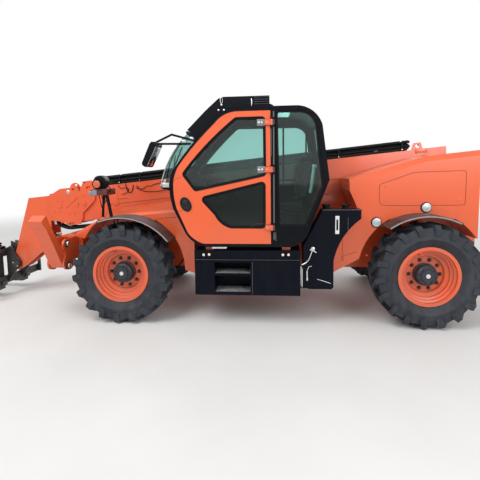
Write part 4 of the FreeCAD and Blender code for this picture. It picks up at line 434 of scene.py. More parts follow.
def other_side(piece):
    """A copy of a piece on the machine's right side."""
    bpy.ops.object.select_all(action="DESELECT")
    piece.select_set(True)
    bpy.context.view_layer.objects.active = piece
    bpy.ops.object.transform_apply(location=True, rotation=True, scale=True)
    bpy.ops.object.duplicate()
    copy = bpy.context.object
    copy.scale.y = -1
    bpy.ops.object.transform_apply(location=False, rotation=False, scale=True)
    bpy.ops.object.mode_set(mode="EDIT")
    bpy.ops.mesh.select_all(action="SELECT")
    bpy.ops.mesh.normals_make_consistent(inside=False)
    bpy.ops.object.mode_set(mode="OBJECT")
    return copy


def both_sides(pieces):
    return join(list(pieces) + [other_side(piece) for piece in pieces])


stud_circle = 0.1675
disc_face = 0.008
for end in ("front", "rear"):
    for side, outward in (("left", -1), ("right", 1)):
        low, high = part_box("tyre_%s_%s" % (end, side))
        centre = (low + high) / 2
        dress(tyre_rubber("rubber_%s_%s" % (end, side), centre), "tyre_%s_%s" % (end, side))
        dress(rim_orange, "rim_%s_%s" % (end, side))
        dress(hub_black, "hub_%s_%s" % (end, side))
        nuts = []
        for index in range(10):
            turn = 2 * math.pi * (index + 0.5) / 10
            spot = centre + Vector((stud_circle * math.sin(turn), 0, stud_circle * math.cos(turn)))
            for corners, radius, depth, start in ((18, 0.0215, 0.005, 0.0), (6, 0.0175, 0.020, 0.005),
                                                  (14, 0.0105, 0.010, 0.025)):
                bpy.ops.mesh.primitive_cylinder_add(
                    vertices=corners, radius=radius, depth=depth, rotation=(math.pi / 2, turn, 0),
                    location=spot + Vector((0, outward * (disc_face + start + depth / 2), 0)))
                nuts.append(edge_bevel(bpy.context.object, 0.0012, 1))
        mount(join(nuts), "wheel_nuts_%s_%s" % (end, side), nut_steel, "wheel_%s_%s" % (end, side))
        rim_low, rim_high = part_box("rim_%s_%s" % (end, side))
        edge_y = (rim_low.y if outward < 0 else rim_high.y) * 1000 - outward * 62
        hub_x, hub_z = (centre.x - middle) * 1000, centre.z * 1000
        valve = bar((hub_x - 82, edge_y, hub_z + 232), (hub_x - 96, edge_y, hub_z + 274), 40, 38, 7)
        stem = turned((hub_x - 86, edge_y + outward * 14, hub_z + 244), (0, outward, 0), ((8, 14), (6, 18), (6, 40), (7, 42), (7, 50)), 12)
        mount(join([valve, stem]), "tyre_valve_%s_%s" % (end, side), rim_orange, "wheel_%s_%s" % (end, side))
        hub_low, hub_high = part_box("hub_%s_%s" % (end, side))
        face = hub_low.y if outward < 0 else hub_high.y
        bolts = []
        for index in range(8):
            turn = 2 * math.pi * (index + 0.25) / 8
            spot = centre + Vector((0.085 * math.sin(turn), 0, 0.085 * math.cos(turn)))
            spot.y = face - outward * 0.008
            bpy.ops.mesh.primitive_cylinder_add(vertices=6, radius=0.0085, depth=0.014, location=spot,
                                                rotation=(math.pi / 2, turn, 0))
            bolts.append(edge_bevel(bpy.context.object, 0.0008, 1))
        mount(join(bolts), "hub_bolts_%s_%s" % (end, side), nut_steel, "wheel_%s_%s" % (end, side))
        # A pale disc on each hub's end: painted highlight.
        bpy.ops.mesh.primitive_cylinder_add(vertices=32, radius=0.0235, depth=0.006, rotation=(math.pi / 2, 0, 0),
                                            location=(centre.x, face + outward * 0.0012, centre.z))
        cap = edge_bevel(bpy.context.object, 0.0016, 2)
        mount(cap, "hub_cap_%s_%s" % (end, side), cap_painted_highlight, "wheel_%s_%s" % (end, side))

# Axles and knuckles: black cast housings between the wheels, dusty from the road.
axle_black = weathered("axle_black_paint", (0.014, 0.014, 0.016), 0.5, 0.6, grain=90, bump=0.1,
                       dirt_colour=(0.11, 0.095, 0.08))
dress(axle_black, "axle_front", "axle_rear", *["knuckle_%s_%s" % (end, side)
                                               for end in ("front", "rear") for side in ("left", "right")])

# Chassis and steel bodywork: welded plates and pressed covers in orange gloss paint. The
# shoulders rise from the nose to the cab, and the rear covers hang beside the boom's foot.
dress(orange, "frame", "body_panels_left", "body_panels_right", "engine_hood", "rear_bumper")
# Panel gaps, seams, folds and pressed lines are drawn as thin dark orange-red lines: painted shade in the grooves.
gap_painted_shade = weathered("panel_gap_painted_shade", (0.22, 0.022, 0.006), 0.6, 0.3)
side = -880.4
hatch_line = [(1300, side, 1345), (1262, side, 1362), (1247, side, 1400), (1247, side, 1420), (1248, side, 1560),
              (1249, side, 1584), (1275, side, 1596), (1600, side, 1710), (1630, side, 1719),
              (2130, side, 1729), (2170, side, 1729), (2180, side, 1700), (2180, side, 1390),
              (2176, side, 1350), (2140, side, 1345)]
rocker_line = [(837, side, 974), (853, side, 712), (858, side, 700)]
toe_line = [(836, side, 700), (834, side, 745), (838, side, 753), (1005, side, 812)]
shoulder_line = [(-1370, side, 1203), (-1250, side, 1214), (-1120, side, 1223)]
lines = [hose(hatch_line, 2.6, closed=True)]
lines += [hose(route, 2.2) for route in (rocker_line, toe_line, shoulder_line)]
mount(both_sides(lines), "panel_gaps", gap_painted_shade, "chassis")
fairing = [bar((545, -264, 1322), (1010, -264, 1372), 5, 190, 2)]
mount(both_sides(fairing), "boom_foot_fairing", orange, "chassis")
screws = [turned((x, -880, z), (0, -1, 0), ((11, 2), (9, 4), (6, 5)), 16)
          for x, z in ((1310, 1400), (1310, 1560), (2120, 1400), (2120, 1680), (890, 690), (1120, 770), (980, 1480))]
mount(both_sides(screws), "panel_screws", orange, "chassis")

# Hood latches and grille: two black rubber latches hold the engine hood's lower edge, and a fine
# dark mesh lies behind its louvres.
rubber_black = weathered("rubber_black", (0.004, 0.004, 0.005), 0.5, 0.1, dirt_colour=(0.04, 0.04, 0.04), shine=0.15)
mesh_panel = [block((-640, 1112, 815), (60, 1117, 1190), 1)]
mount(join(mesh_panel), "hood_mesh", rubber_black, "hood")
latches = []
for x in (-700, 520):
    latches.append(block((x, 1129, 735), (x + 46, 1139, 850), 5, 3))
    latches.append(turned((x + 23, 1139, 830), (0, 1, 0), ((16, 5), (12, 9))))
mount(join(latches), "hood_latches", rubber_black, "hood")

# Bumper: a bent steel beam with a tow hitch, its drop pin and a blank number plate.
pin_bright = weathered("pin_bright_steel", (0.62, 0.62, 0.60), 0.25, 0.15, metal=1.0)
hitch = [turned((2420, 0, 868), (0, 0, 1), ((15.6, 6), (15.6, 38), (22, 40), (22, 50), (15, 56))),
         hose([(2420, 0, 918), (2420, 30, 950), (2420, 0, 985), (2420, -30, 950), (2420, 0, 918)], 5)]
mount(join(hitch), "hitch_pin", pin_bright, "chassis")
plate_white = weathered("number_plate_blank", (0.72, 0.72, 0.68), 0.35, 0.3)
mount(block((2480, -470, 960), (2484, -210, 1070), 4), "number_plate", plate_white, "chassis")

# Side lamps: round silver-white lamps in black rubber rings, two on each rear cover.
bezel = weathered("lamp_bezel_silver", (0.60, 0.63, 0.64), 0.28, 0.2, metal=0.6)
rings, glasses = [], []
for x, z in ((1219, 1155), (1761, 1322)):
    rings.append(turned((x, -879, z), (0, -1, 0), ((60, 8), (58, 13), (52, 14), (51, 9)), 40))
    glasses.append(turned((x, -880, z), (0, -1, 0), ((51, 16), (49, 22), (38, 24), (36, 20), (22, 21), (20, 25),
                                                     (9, 26), (8, 22)), 40))
mount(both_sides(rings), "side_lamp_rings", rubber_black, "chassis")
lamp_faces = mount(both_sides(glasses), "side_lamp_faces", bezel, "chassis")
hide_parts("side_lamps")

# Mudguards: narrow rolled strips of dark plastic over each tyre, dusty and faded.
guard_plastic = weathered("mudguard_dark_plastic", (0.040, 0.020, 0.019), 0.5, 0.5, grain=120, bump=0.08,
                          dirt_colour=(0.20, 0.13, 0.12))
dress(guard_plastic, "mudguards_left", "mudguards_right")
# The rolled lip along each mudguard's edge is grey: a painted highlight on the edge, with real dust over it.
lip_painted_highlight = weathered("mudguard_lip_painted_highlight", (0.30, 0.25, 0.25), 0.5, 0.5, grain=120, dirt_colour=(0.45, 0.38, 0.36))
lips, ribs = [], []
for end, sign, first, last in (("front", 1, 38, 111), ("rear", -1, 63, 125)):
    hub_x = (wheel_x[end] - middle) * 1000 + 25 * sign
    route = []
    for index in range(13):
        turn = math.radians(first + (last - first) * index / 12)
        route.append((hub_x + 703 * math.cos(turn), -1166, 545 + 703 * math.sin(turn)))
    lips.append(hose(route, 9, sides=2))
    for index in range(5):
        turn = math.radians((38, 124)[end == "rear"] + (1, -1)[end == "rear"] * (index + 0.5) * 2.2)
        out = Vector((math.cos(turn), 0, math.sin(turn)))
        start = Vector((hub_x, 0, 545)) + out * 717
        ribs.append(bar((start.x, -1166, start.z), (start.x, -890, start.z), 9, 7))
mount(both_sides(lips), "mudguard_lips", lip_painted_highlight, "chassis")
mount(both_sides(ribs), "mudguard_ribs", guard_plastic, "chassis")
stays = [block((-1767, -1168, 1172), (-1755, -1148, 1246), 2), block((-1725, -1168, 1172), (-1713, -1148, 1250), 2),
         block((-1767, -1168, 1228), (-1713, -1148, 1242), 2), turned((-1514, -1160, 1205), (0, -1, 0), ((14, 5), (11, 12)), 6)]
mount(both_sides(stays), "mudguard_stays", rubber_black, "chassis")
brake_hose = [hose([(-1409, y, 838), (-1268, y, 772), (-1176, y, 662), (-1162, y, 579), (-1290, y, 446)], 9)
              for y in (-330, 330)]
mount(join(brake_hose), "axle_hoses", rubber_black, "chassis")

# Stabilizers: an orange box across the nose with a hinged leg at each end.
dress(orange, "stabilizer_frame")
dress(orange, "stabilizer_leg_left", "stabilizer_leg_right")
washers, pin_ends = [], []
for z in (902, 628):
    washers.append(turned((-2500, -890, z), (1, 0, 0), ((47, 8), (44, 11), (36, 12))))
    pin_ends.append(turned((-2488, -890, z), (1, 0, 0), ((30, 12), (27, 18), (14, 22), (8, 20))))
    washers.append(turned((-2720, -890, z), (-1, 0, 0), ((44, 8), (40, 12), (34, 13))))
mount(both_sides(washers), "leg_pin_washers", nut_steel, "chassis")
mount(both_sides(pin_ends), "leg_pin_ends", cap_steel, "chassis")

# Boom: three square steel tubes that slide in each other, orange outside, with two black
# hydraulic pipes along the top of the outer one.
dress(orange, "boom_outer", "boom_mid", "boom_inner", "lifting_lug")
pipe_black = weathered("pipe_black_gloss", (0.005, 0.005, 0.006), 0.14, 0.05, coat=0.3, shine=0.4)
dress(pipe_black, "boom_pipes")
slope = math.tan(math.radians(5.7))


def along_boom(x, up, y):
    """A place beside the outer boom: `up` is counted from its centre line."""
    return (x, y, 1800 + (2080 - x) * -slope + up * 1.005)


hoses = [hose([along_boom(x, up, y) for x in (-2330, -1200, -200, 900, 1800)], radius)
         for y, up, radius in ((-80, 292, 17), (-172, 284, 15), (-128, 306, 13), (-158, 338, 16), (-112, 348, 16),
                               (-66, 336, 16))]
hoses.append(bar(along_boom(-2270, 247, -100), along_boom(1770, 247, -100), 168, 30, 5))
mount(join(hoses), "boom_top_hoses", rubber_black, "boom_outer")
clips, clip_screws = [], []
for x in (-2080, -1790, -900, 0, 900, 1700):
    clips.append(bar(along_boom(x, 233, -100), along_boom(x, 352, -100), 188, 20, 3))
    clip_screws.append(turned(along_boom(x, 352, -135), (0, 0, 1), ((10, 4), (8, 10)), 6))
    clip_screws.append(turned(along_boom(x, 250, -193), (0, -1, 0), ((8, 3), (7, 7)), 6))
mount(join(clips), "boom_pipe_clips", rubber_black, "boom_outer")
mount(join(clip_screws), "boom_clip_screws", pin_bright, "boom_outer")
doubler = [bar(along_boom(1867, 206, -183), along_boom(2017, 206, -183), 6, 52, 2)]
doubler.append(bar(along_boom(-2190, 60, -182.5), along_boom(-2120, 60, -182.5), 5, 250, 2))
mount(both_sides(doubler), "boom_side_plates", orange, "boom_outer")
# The weld seams are drawn as thin dark lines: painted shade along them.
seam_lines = []
for sign in (-1, 1):
    y = sign * 180.6
    seam_lines.append(hose([along_boom(x, -38, y) for x in (-2280, -600, 1000, 2180)], 3.2))
    seam_lines.append(hose([(-2185, y, 1575), (-2160, y, 1440), (-2153, y, 1405), (-2120, y, 1401), (-1980, y, 1418)], 3))
mount(join(seam_lines), "boom_seams", gap_painted_shade, "boom_outer")
# The collar's folds are drawn as thin dark lines: painted shade in the creases.
folds = []
for sign in (-1, 1):
    y = sign * 206.5
    folds.append(hose([(-2689, y, 1436), (-2875, y, 1278)], 2.2, straight=True))
    folds.append(hose([(-2470, y, 1366), (-2612, y, 1228)], 2.2, straight=True))
mount(join(folds), "collar_folds", gap_painted_shade, "boom_outer")
wires = [
    hose([(-1855, -190, 1560), (-1800, -192, 1535), (-1724, -192, 1556), (-1690, -192, 1590), (-1640, -190, 1575),
          (-1600, -190, 1606), (-1535, -188, 1610), (-1490, -186, 1640)], 4),
    hose([(-1840, -190, 1590), (-1811, -192, 1546), (-1740, -194, 1510), (-1640, -194, 1502), (-1507, -194, 1510),
          (-1420, -192, 1530), (-1380, -190, 1560), (-1370, -188, 1640)], 4.5),
    hose([(-2110, -188, 1600), (-2075, -190, 1545), (-2030, -192, 1560), (-1972, -192, 1562), (-1950, -190, 1530),
          (-2000, -192, 1478), (-2061, -192, 1471)], 4),
    hose([(-2000, -188, 1620), (-1990, -192, 1560), (-1960, -194, 1490), (-1900, -194, 1500), (-1890, -190, 1600)], 5),
]
mount(join(wires), "boom_side_wires", rubber_black, "boom_outer")
tips = [turned((-2691, -224, 1597), (0, -1, 0), ((20, 4), (17, 12), (9, 16)), 24),
        turned((-2829, -206, 1509), (0, -1, 0), ((27, 4), (24, 6), (15, 7)), 24),
        turned((-2088, -170, 1640), (0, -1, 0), ((15, 14), (11, 20)), 6)]
mount(join(tips), "collar_bolts", pin_bright, "boom_outer")
drooping = [hose([(-3058, y, 1085), (-3040, y, 1050), (-2960, y, 1022 - drop), (-2860, y, 996 - drop),
                  (-2760, y, 1008 - drop), (-2660, y, 1010), (-2520, y, 1018 + drop), (-2430, y, 1065), (-2420, y, 1125)],
                 radius) for y, radius, drop in ((-156, 21, 8), (-112, 19, 2), (-70, 21, 14), (60, 18, 6))]
mount(join(drooping), "mouth_hoses", rubber_black, "boom_outer")
ferrules = [turned((-3058, y, 1050), (0, 0, 1), ((25, 14), (25, 34), (17, 36), (17, 60)), 12)
            for y in (-156, -112, -70, 60)]
mount(join(ferrules), "mouth_hose_ferrules", pin_bright, "boom_outer")

# Fork carriage: a black welded frame, with two forged forks worn bright underneath.
carriage_black = weathered("carriage_black_paint", (0.014, 0.014, 0.016), 0.38, 0.3, coat=0.1,
                           dirt_colour=(0.10, 0.09, 0.08))
fork_steel = weathered("fork_worn_steel", (0.11, 0.107, 0.104), 0.42, 0.5, metal=0.85, grain=60, bump=0.12,
                       dirt_colour=(0.13, 0.11, 0.09))
dress(carriage_black, "carriage")
dress(fork_steel, "forks")
hooks, knobs = [], []
for y in (-260, 260):
    hooks += [block((-3890, y - 55, 702), (-3828, y + 55, 742), 6, 3), block((-3848, y - 55, 650), (-3828, y + 55, 742), 6, 3),
              block((-3890, y - 45, 170), (-3830, y + 45, 187), 5, 3), block((-3848, y - 45, 170), (-3830, y + 45, 236), 5, 3)]
    knobs.append(turned((-3868, y, 740), (0, 0, 1), ((15, 8), (11, 12), (11, 34), (22, 38), (24, 46), (20, 56)), 20))
mount(join(hooks), "fork_hooks", fork_steel, "carriage")
mount(join(knobs), "fork_latch_knobs", rubber_black, "carriage")
keepers, keeper_bolts = [], []
keepers.append(turned((-3701, -190, 470), (0, -1, 0), ((44, 3), (42, 5)), 32))
keepers.append(bar((-3742, -198, 500), (-3660, -198, 440), 6, 30, 2))
for x, z in ((-3733, 494), (-3669, 446)):
    keeper_bolts.append(turned((x, -201, z), (0, -1, 0), ((11, 5), (9, 8)), 6))
mount(both_sides(keepers), "head_pin_keepers", nut_steel, "boom_inner")
mount(both_sides(keeper_bolts), "head_pin_bolts", cap_steel, "boom_inner")

# Hydraulic cylinders: black barrels and hard chromed rods.
barrel_black = weathered("barrel_black_paint", (0.010, 0.010, 0.012), 0.3, 0.25, coat=0.3,
                         dirt_colour=(0.10, 0.09, 0.08))
rod_chrome = weathered("rod_hard_chrome", (0.80, 0.80, 0.80), 0.12, 0.05, metal=1.0)
dress(barrel_black, "lift_barrel", "tilt_barrel")
dress(rod_chrome, "lift_rod", "tilt_rod")

# Cab: a black welded frame with an orange door on its rear hinges and green-tinted glass all
# round, sealed in black rubber. A black ribbed cap covers the roof hatch.
cab_black = weathered("cab_black_paint", (0.003, 0.004, 0.007), 0.2, 0.06, coat=0.04,
                      dirt_colour=(0.035, 0.035, 0.04), shine=0.1)
cab_plastic = weathered("cab_black_plastic", (0.004, 0.005, 0.008), 0.34, 0.08, grain=220, bump=0.08,
                        dirt_colour=(0.04, 0.04, 0.042), shine=0.1)
dress(cab_black, "cab_frame")
dress(cab_plastic, "cab_roof", "mirror", "dashboard", "door_handle")
dress(orange, "door_panel")


def outer_faces(source, facing, reach):
    """A merged copy of the faces of a node that look one way from one depth across the machine."""
    piece = bpy.data.objects.new("faces", nodes[source].data.copy())
    bpy.context.collection.objects.link(piece)
    pick_faces(piece, lambda face: False)
    bpy.ops.mesh.select_all(action="SELECT")
    bpy.ops.mesh.remove_doubles(threshold=0.00005)
    bpy.ops.object.mode_set(mode="OBJECT")
    pick_faces(piece, lambda face: face.normal.y * facing < 0.99 or abs(face.center.y - reach / 1000) > 0.0006)
    bpy.ops.mesh.delete(type="FACE")
    bpy.ops.mesh.select_all(action="SELECT")
    bpy.ops.mesh.dissolve_limited(angle_limit=math.radians(0.2), delimit={"NORMAL"})
    bpy.ops.object.mode_set(mode="OBJECT")
    return piece


def surround(piece, inside, outside, facing, lift, depth):
    """A flat rubber or trim frame that follows a pane's edge, from inside it to outside it."""
    pick_faces(piece, lambda face: True)
    if outside:
        bpy.ops.mesh.inset(thickness=outside / 1000, depth=0, use_outset=True, use_boundary=True)
        bpy.ops.mesh.select_all(action="INVERT")
        bpy.ops.object.mode_set(mode="OBJECT")
        rings = [face.index for face in piece.data.polygons if face.select]
        pick_faces(piece, lambda face: face.index not in rings)
        if inside:
            bpy.ops.mesh.inset(thickness=inside / 1000, depth=0)
        bpy.ops.mesh.delete(type="FACE")
    else:
        bpy.ops.mesh.inset(thickness=inside / 1000, depth=0)
        bpy.ops.mesh.delete(type="FACE")
    bpy.ops.mesh.select_all(action="SELECT")
    bpy.ops.transform.translate(value=(0, facing * lift / 1000, 0))
    bpy.ops.object.mode_set(mode="OBJECT")
    thick = piece.modifiers.new("thickness", "SOLIDIFY")
    thick.thickness = depth / 1000
    thick.offset = -1
    bpy.ops.object.modifier_apply(modifier=thick.name)
    return edge_bevel(piece, 0.0015, 2, 50)


def edge_bead(piece, radius, shift):
    """A round rubber bead along every edge of a set of faces."""
    pick_faces(piece, lambda face: True)
    bpy.ops.mesh.region_to_loop()
    bpy.ops.mesh.select_all(action="INVERT")
    bpy.ops.mesh.delete(type="EDGE_FACE")
    bpy.ops.mesh.select_all(action="SELECT")
    bpy.ops.transform.translate(value=(0, shift / 1000, 0))
    bpy.ops.object.mode_set(mode="OBJECT")
    bpy.ops.object.convert(target="CURVE")
    piece = bpy.context.object
    piece.data.bevel_depth = radius / 1000
    piece.data.bevel_resolution = 2
    bpy.ops.object.convert(target="MESH")
    return bpy.context.object


seals = surround(outer_faces("door_glass", -1, -1126), 28, 0, -1, 7, 8)
mount(seals, "door_glass_seals", rubber_black, "door")
bead = edge_bead(outer_faces("door_panel", -1, -1140), 6.5, 3)
mount(bead, "door_edge_bead", rubber_black, "door")
window_seals = [surround(outer_faces("cab_windows", -1, -1126), 26, 0, -1, 7, 8),
                surround(outer_faces("cab_windows", 1, -284), 26, 0, 1, 7, 8)]
mount(join(window_seals), "cab_window_seals", rubber_black, "chassis")
# A grey bead round the quarter window stands in for the light caught on the black frame's edge: painted highlight.
trim = outer_faces("cab_windows", -1, -1126)
pick_faces(trim, lambda face: True)
bpy.ops.mesh.inset(thickness=0.016, depth=0, use_outset=True)
bpy.ops.mesh.select_all(action="SELECT")
bpy.ops.mesh.dissolve_limited(angle_limit=math.radians(0.2))
bpy.ops.object.mode_set(mode="OBJECT")
trim = surround(trim, 0.01, 12, -1, 20, 7)
# This grey stands in for highlights on black edges, beads and bars: painted highlight.
trim_painted_highlight = weathered("cab_trim_painted_highlight", (0.10, 0.098, 0.10), 0.34, 0.3, coat=0.3, dirt_colour=(0.2, 0.19, 0.18))
mount(trim, "quarter_window_trim", trim_painted_highlight, "chassis")

# Door hardware: grey clamp plates hold the glass at its hinges, and an oval black dish with a
# paddle in it opens the latch.
clamp_grey = weathered("clamp_plate_grey", (0.23, 0.24, 0.26), 0.4, 0.3, metal=0.4)
plates = [block((-124, -1136, z - 36), (-36, -1126, z + 36), 5, 3) for z in (2276, 1770)]
mount(join(plates), "door_hinge_plates", clamp_grey, "door")
bolts = [turned((x, -1136, z), (0, -1, 0), ((12, 2), (10, 4), (7, 6)), 20)
         for z in (2276, 1770) for x in (-104, -70)]
bolts += [turned((x, -1162, z), (0, -1, 0), ((9, 2), (7, 5)), 6) for z in (2276, 1770, 1133) for x in (-24, -8)]
mount(join(bolts), "door_hinge_bolts", cap_steel, "door")
dish = turned((0, 0, 0), (0, -1, 0), ((80, 5), (78, 11), (68, 12), (62, 4), (46, 2)), 48)
bpy.ops.object.origin_set(type="ORIGIN_GEOMETRY", center="BOUNDS")
dish.scale = (0.76, 1, 1.08)
bpy.ops.object.transform_apply(location=True, rotation=False, scale=True)
lever = block((-20, -16, -56), (16, -6, 50), 6, 3)
grip = block((-30, -12, 18), (30, -4, 46), 5, 3)
dish = join([dish, lever, grip])
bpy.ops.object.transform_apply(location=True, rotation=True, scale=True)
bpy.ops.object.origin_set(type="ORIGIN_GEOMETRY", center="BOUNDS")
dish.rotation_euler = (0, math.radians(-25), 0)
dish.location = at(-928, -1147, 1395)
handle_black = weathered("handle_black_gloss", (0.004, 0.004, 0.006), 0.16, 0.08, coat=0.15, shine=0.35)
mount(dish, "door_handle_dish", handle_black, "door")
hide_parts("door_handle")
# Lines on the door skin are thin dark strips: painted shade in its pressed grooves.
trims = [hose([(-1058, -1141, 1662), (-1044, -1141.5, 1683), (-972, -1141.5, 1700)], 1.8),
         hose([(-1030, -1141, 1305), (-1018, -1141.5, 1311), (-948, -1141.5, 1342)], 1.5),
         hose([(-183, -1141, 1120), (-183, -1141.5, 1177), (-120, -1141.5, 1180), (-45, -1141, 1180)], 1.4)]
mount(join(trims), "door_skin_lines", gap_painted_shade, "door")

# Cab outside: a round bar on the pillar behind the door, a bright sill strip, bolts and a lifting
# eye on the roof, its ribs and strip, and the wiper and clamps of the curved windscreen.
# The round bar on the pillar is light grey: a painted highlight along it.
pillar = [hose([(56, -1143, 1000), (56, -1143, 1690), (56, -1143, 2390)], 8, straight=True),
          block((70, -1145, 985), (78, -1139, 1105), 2)]
mount(join(pillar), "cab_pillar_bar", trim_painted_highlight, "chassis")
bright = [block((-643, -1137, 893), (-475, -1118, 914), 2)]
bright += [turned((x, -1140, 2418), (0, -1, 0), ((10, 3), (9, 6), (6, 8)), 24) for x in (-538, -478)]
bright.append(turned((-509, -1095, 2478), (0, -1, 0), ((12, 8), (10, 13), (6, 14)), 24))
bright.append(hose([(-509, -1101, 2478), (-527, -1102, 2520), (-520, -1102, 2560), (-500, -1102, 2556),
                    (-498, -1102, 2518), (-509, -1101, 2478)], 2.4))
bright.append(block((-186, -1101, 2456), (-177, -1093, 2540), 3))
bright += [block((-1204, -1104, 1588), (-1122, -1086, 1640), 4), turned((-1166, -1104, 1664), (0, -1, 0), ((19, 5), (15, 12)), 20),
           block((-962, -1102, 2076), (-918, -1086, 2112), 4), block((-872, -1102, 2092), (-832, -1086, 2142), 4)]
mount(join(bright), "cab_bright_fittings", cap_steel, "chassis")
# A bright steel bead along each side of the curved windscreen stands in for the shine on the glass edge: painted
# highlight.
edge = [hose([(-1221, -1089, 1600), (-1151, -1089, 1935), (-908, -1089, 2180)], 7),
        hose([(-1221, -321, 1600), (-1151, -321, 1935), (-908, -321, 2180)], 7)]
mount(join(edge), "windscreen_edge_painted_highlight", pin_bright, "chassis")
brow = [bar((-915, -705, 2200), (-778, -705, 2104), 776, 34, 8),
        bar((-1217, -705, 1584), (-1110, -705, 1560), 776, 26, 8),
        hose([(-1150, -1094, 1690), (-1130, -1096, 1800), (-1062, -1096, 1960), (-985, -1095, 2065)], 5)]
mount(join(brow), "windscreen_rubbers", rubber_black, "chassis")
wiper = [hose([(-1212, -560, 1640), (-1220, -560, 1700), (-1192, -620, 1860), (-1150, -700, 1960)], 6),
         bar((-1184, -700, 1790), (-1062, -700, 2060), 12, 16, 3)]
mount(join(wiper), "windscreen_wiper", rubber_black, "chassis")
rails = [bar((178, -285, 1290), (178, -285, 2390), 14, 24, 3), bar((470, -285, 1290), (470, -285, 2235), 14, 20, 3),
         bar((-430, -285, 1640), (600, -285, 1640), 14, 20, 3)]
mount(join(rails), "right_window_rails", rubber_black, "chassis")
# The roof ribs are dark blue-grey, lighter than the black roof: painted sky reflection along them.
roof_painted_highlight = weathered("roof_rib_painted_highlight", (0.03, 0.034, 0.045), 0.3, 0.2, shine=0.3)
ribs = [block((-152, -1102, 2474 + 24 * index), (4, -1093, 2484 + 24 * index), 3) for index in range(4)]
ribs += [bar((-800, y, 2262), (-560, y, 2436), 16, 12, 4) for y in (-1000, -860, -550, -410)]
ribs += [bar((-480, y, 2567), (-20, y, 2567), 26, 8, 3) for y in (-1000, -860, -705, -550, -410)]
mount(join(ribs), "roof_ribs", roof_painted_highlight, "chassis")
mirror_glass = bpy.data.materials.new("mirror_silver_glass")
mirror_glass.use_nodes = True
tree = mirror_glass.node_tree
shader = tree.nodes["Principled BSDF"]
shader.inputs["Base Color"].default_value = (0.75, 0.78, 0.80, 1)
shader.inputs["Metallic"].default_value = 1.0
where = tree.nodes.new("ShaderNodeTexCoord")
dust = tree.nodes.new("ShaderNodeTexNoise")
dust.inputs["Scale"].default_value = 14
film = tree.nodes.new("ShaderNodeMapRange")
film.inputs["To Min"].default_value = 0.02
film.inputs["To Max"].default_value = 0.16
tree.links.new(where.outputs["Object"], dust.inputs["Vector"])
tree.links.new(dust.outputs["Fac"], film.inputs["Value"])
tree.links.new(film.outputs["Result"], shader.inputs["Roughness"])
glass_side = bar((-1239, -1080, 2037), (-1340, -1080, 1834), 206, 7, 2)
mount(glass_side, "mirror_face", mirror_glass, "chassis")
pane = bpy.data.materials.new("tinted_cab_glass")
pane.use_nodes = True
tree = pane.node_tree
shader = tree.nodes["Principled BSDF"]
shader.inputs["Base Color"].default_value = (0.50, 0.74, 0.70, 1)
shader.inputs["Transmission Weight"].default_value = 1.0
shader.inputs["IOR"].default_value = 1.45
where = tree.nodes.new("ShaderNodeTexCoord")
smears = tree.nodes.new("ShaderNodeTexNoise")
smears.inputs["Scale"].default_value = 5
smears.inputs["Detail"].default_value = 6
haze = tree.nodes.new("ShaderNodeMapRange")
haze.inputs["From Min"].default_value = 0.4
haze.inputs["From Max"].default_value = 0.8
haze.inputs["To Min"].default_value = 0.01
haze.inputs["To Max"].default_value = 0.07
tree.links.new(where.outputs["Object"], smears.inputs["Vector"])
tree.links.new(smears.outputs["Fac"], haze.inputs["Value"])
tree.links.new(haze.outputs["Result"], shader.inputs["Roughness"])
dress(pane, "cab_windows", "door_glass")
seat_cloth = weathered("seat_black_cloth", (0.022, 0.022, 0.025), 0.85, 0.3, grain=500, bump=0.3)
dress(seat_cloth, "seat")


def filled(low, high, cap, thin=0.5):
    """A stuffed cushion: a rounded block whose cloth cover swells over its foam."""
    pad = block(low, high, 22, 4)
    pad.select_set(True)
    bpy.context.view_layer.objects.active = pad
    skin = pad.modifiers.new("even_cloth", "REMESH")
    skin.mode = "VOXEL"
    skin.voxel_size = 0.0085
    bpy.ops.object.modifier_apply(modifier=skin.name)
    before = [point.co.copy() for point in pad.data.vertices]
    swell = pad.modifiers.new("stuffing", "CLOTH")
    swell.settings.use_pressure = True
    swell.settings.uniform_pressure_force = 4
    swell.settings.effector_weights.gravity = 0
    swell.point_cache.frame_end = 20
    for moment in range(1, 21):
        bpy.context.scene.frame_set(moment)
    bpy.ops.object.modifier_apply(modifier=swell.name)
    bpy.context.scene.frame_set(1)
    for point, old in zip(pad.data.vertices, before):
        move = point.co - old
        if move.length > cap / 1000:
            point.co = old + move * (cap / 1000 / move.length)
    return pad


cushion = filled((-70, -925, 1310), (385, -485, 1405), 24)
rest = filled((-45, -900, -270), (40, -510, 190), 26)
rest.rotation_euler = (0, math.radians(12), 0)
bpy.ops.object.select_all(action="DESELECT")
rest.select_set(True)
bpy.context.view_layer.objects.active = rest
bpy.ops.object.origin_set(type="ORIGIN_GEOMETRY", center="BOUNDS")
rest.location = at(395, -705, 1655)
head = filled((-32, -830, -60), (30, -580, 60), 16)
bpy.ops.object.select_all(action="DESELECT")
head.select_set(True)
bpy.context.view_layer.objects.active = head
bpy.ops.object.origin_set(type="ORIGIN_GEOMETRY", center="BOUNDS")
head.rotation_euler = (0, math.radians(14), 0)
head.location = at(462, -705, 1905)
seat_pads = mount(join([cushion, rest, head]), "seat_cushions", seat_cloth, "chassis", 60)
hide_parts("seat")
piping = [hose([(-66, -920, 1358), (-66, -490, 1358), (380, -490, 1358), (380, -920, 1358), (-66, -920, 1358)], 5, straight=True),
          hose([(330, -896, 1440), (418, -896, 1866), (418, -514, 1866), (330, -514, 1440)], 5)]
for y in (-800, -610):
    piping.append(hose([(-62, y, 1400), (150, y, 1412), (370, y, 1402)], 4))
mount(join(piping), "seat_piping", rubber_black, "chassis")
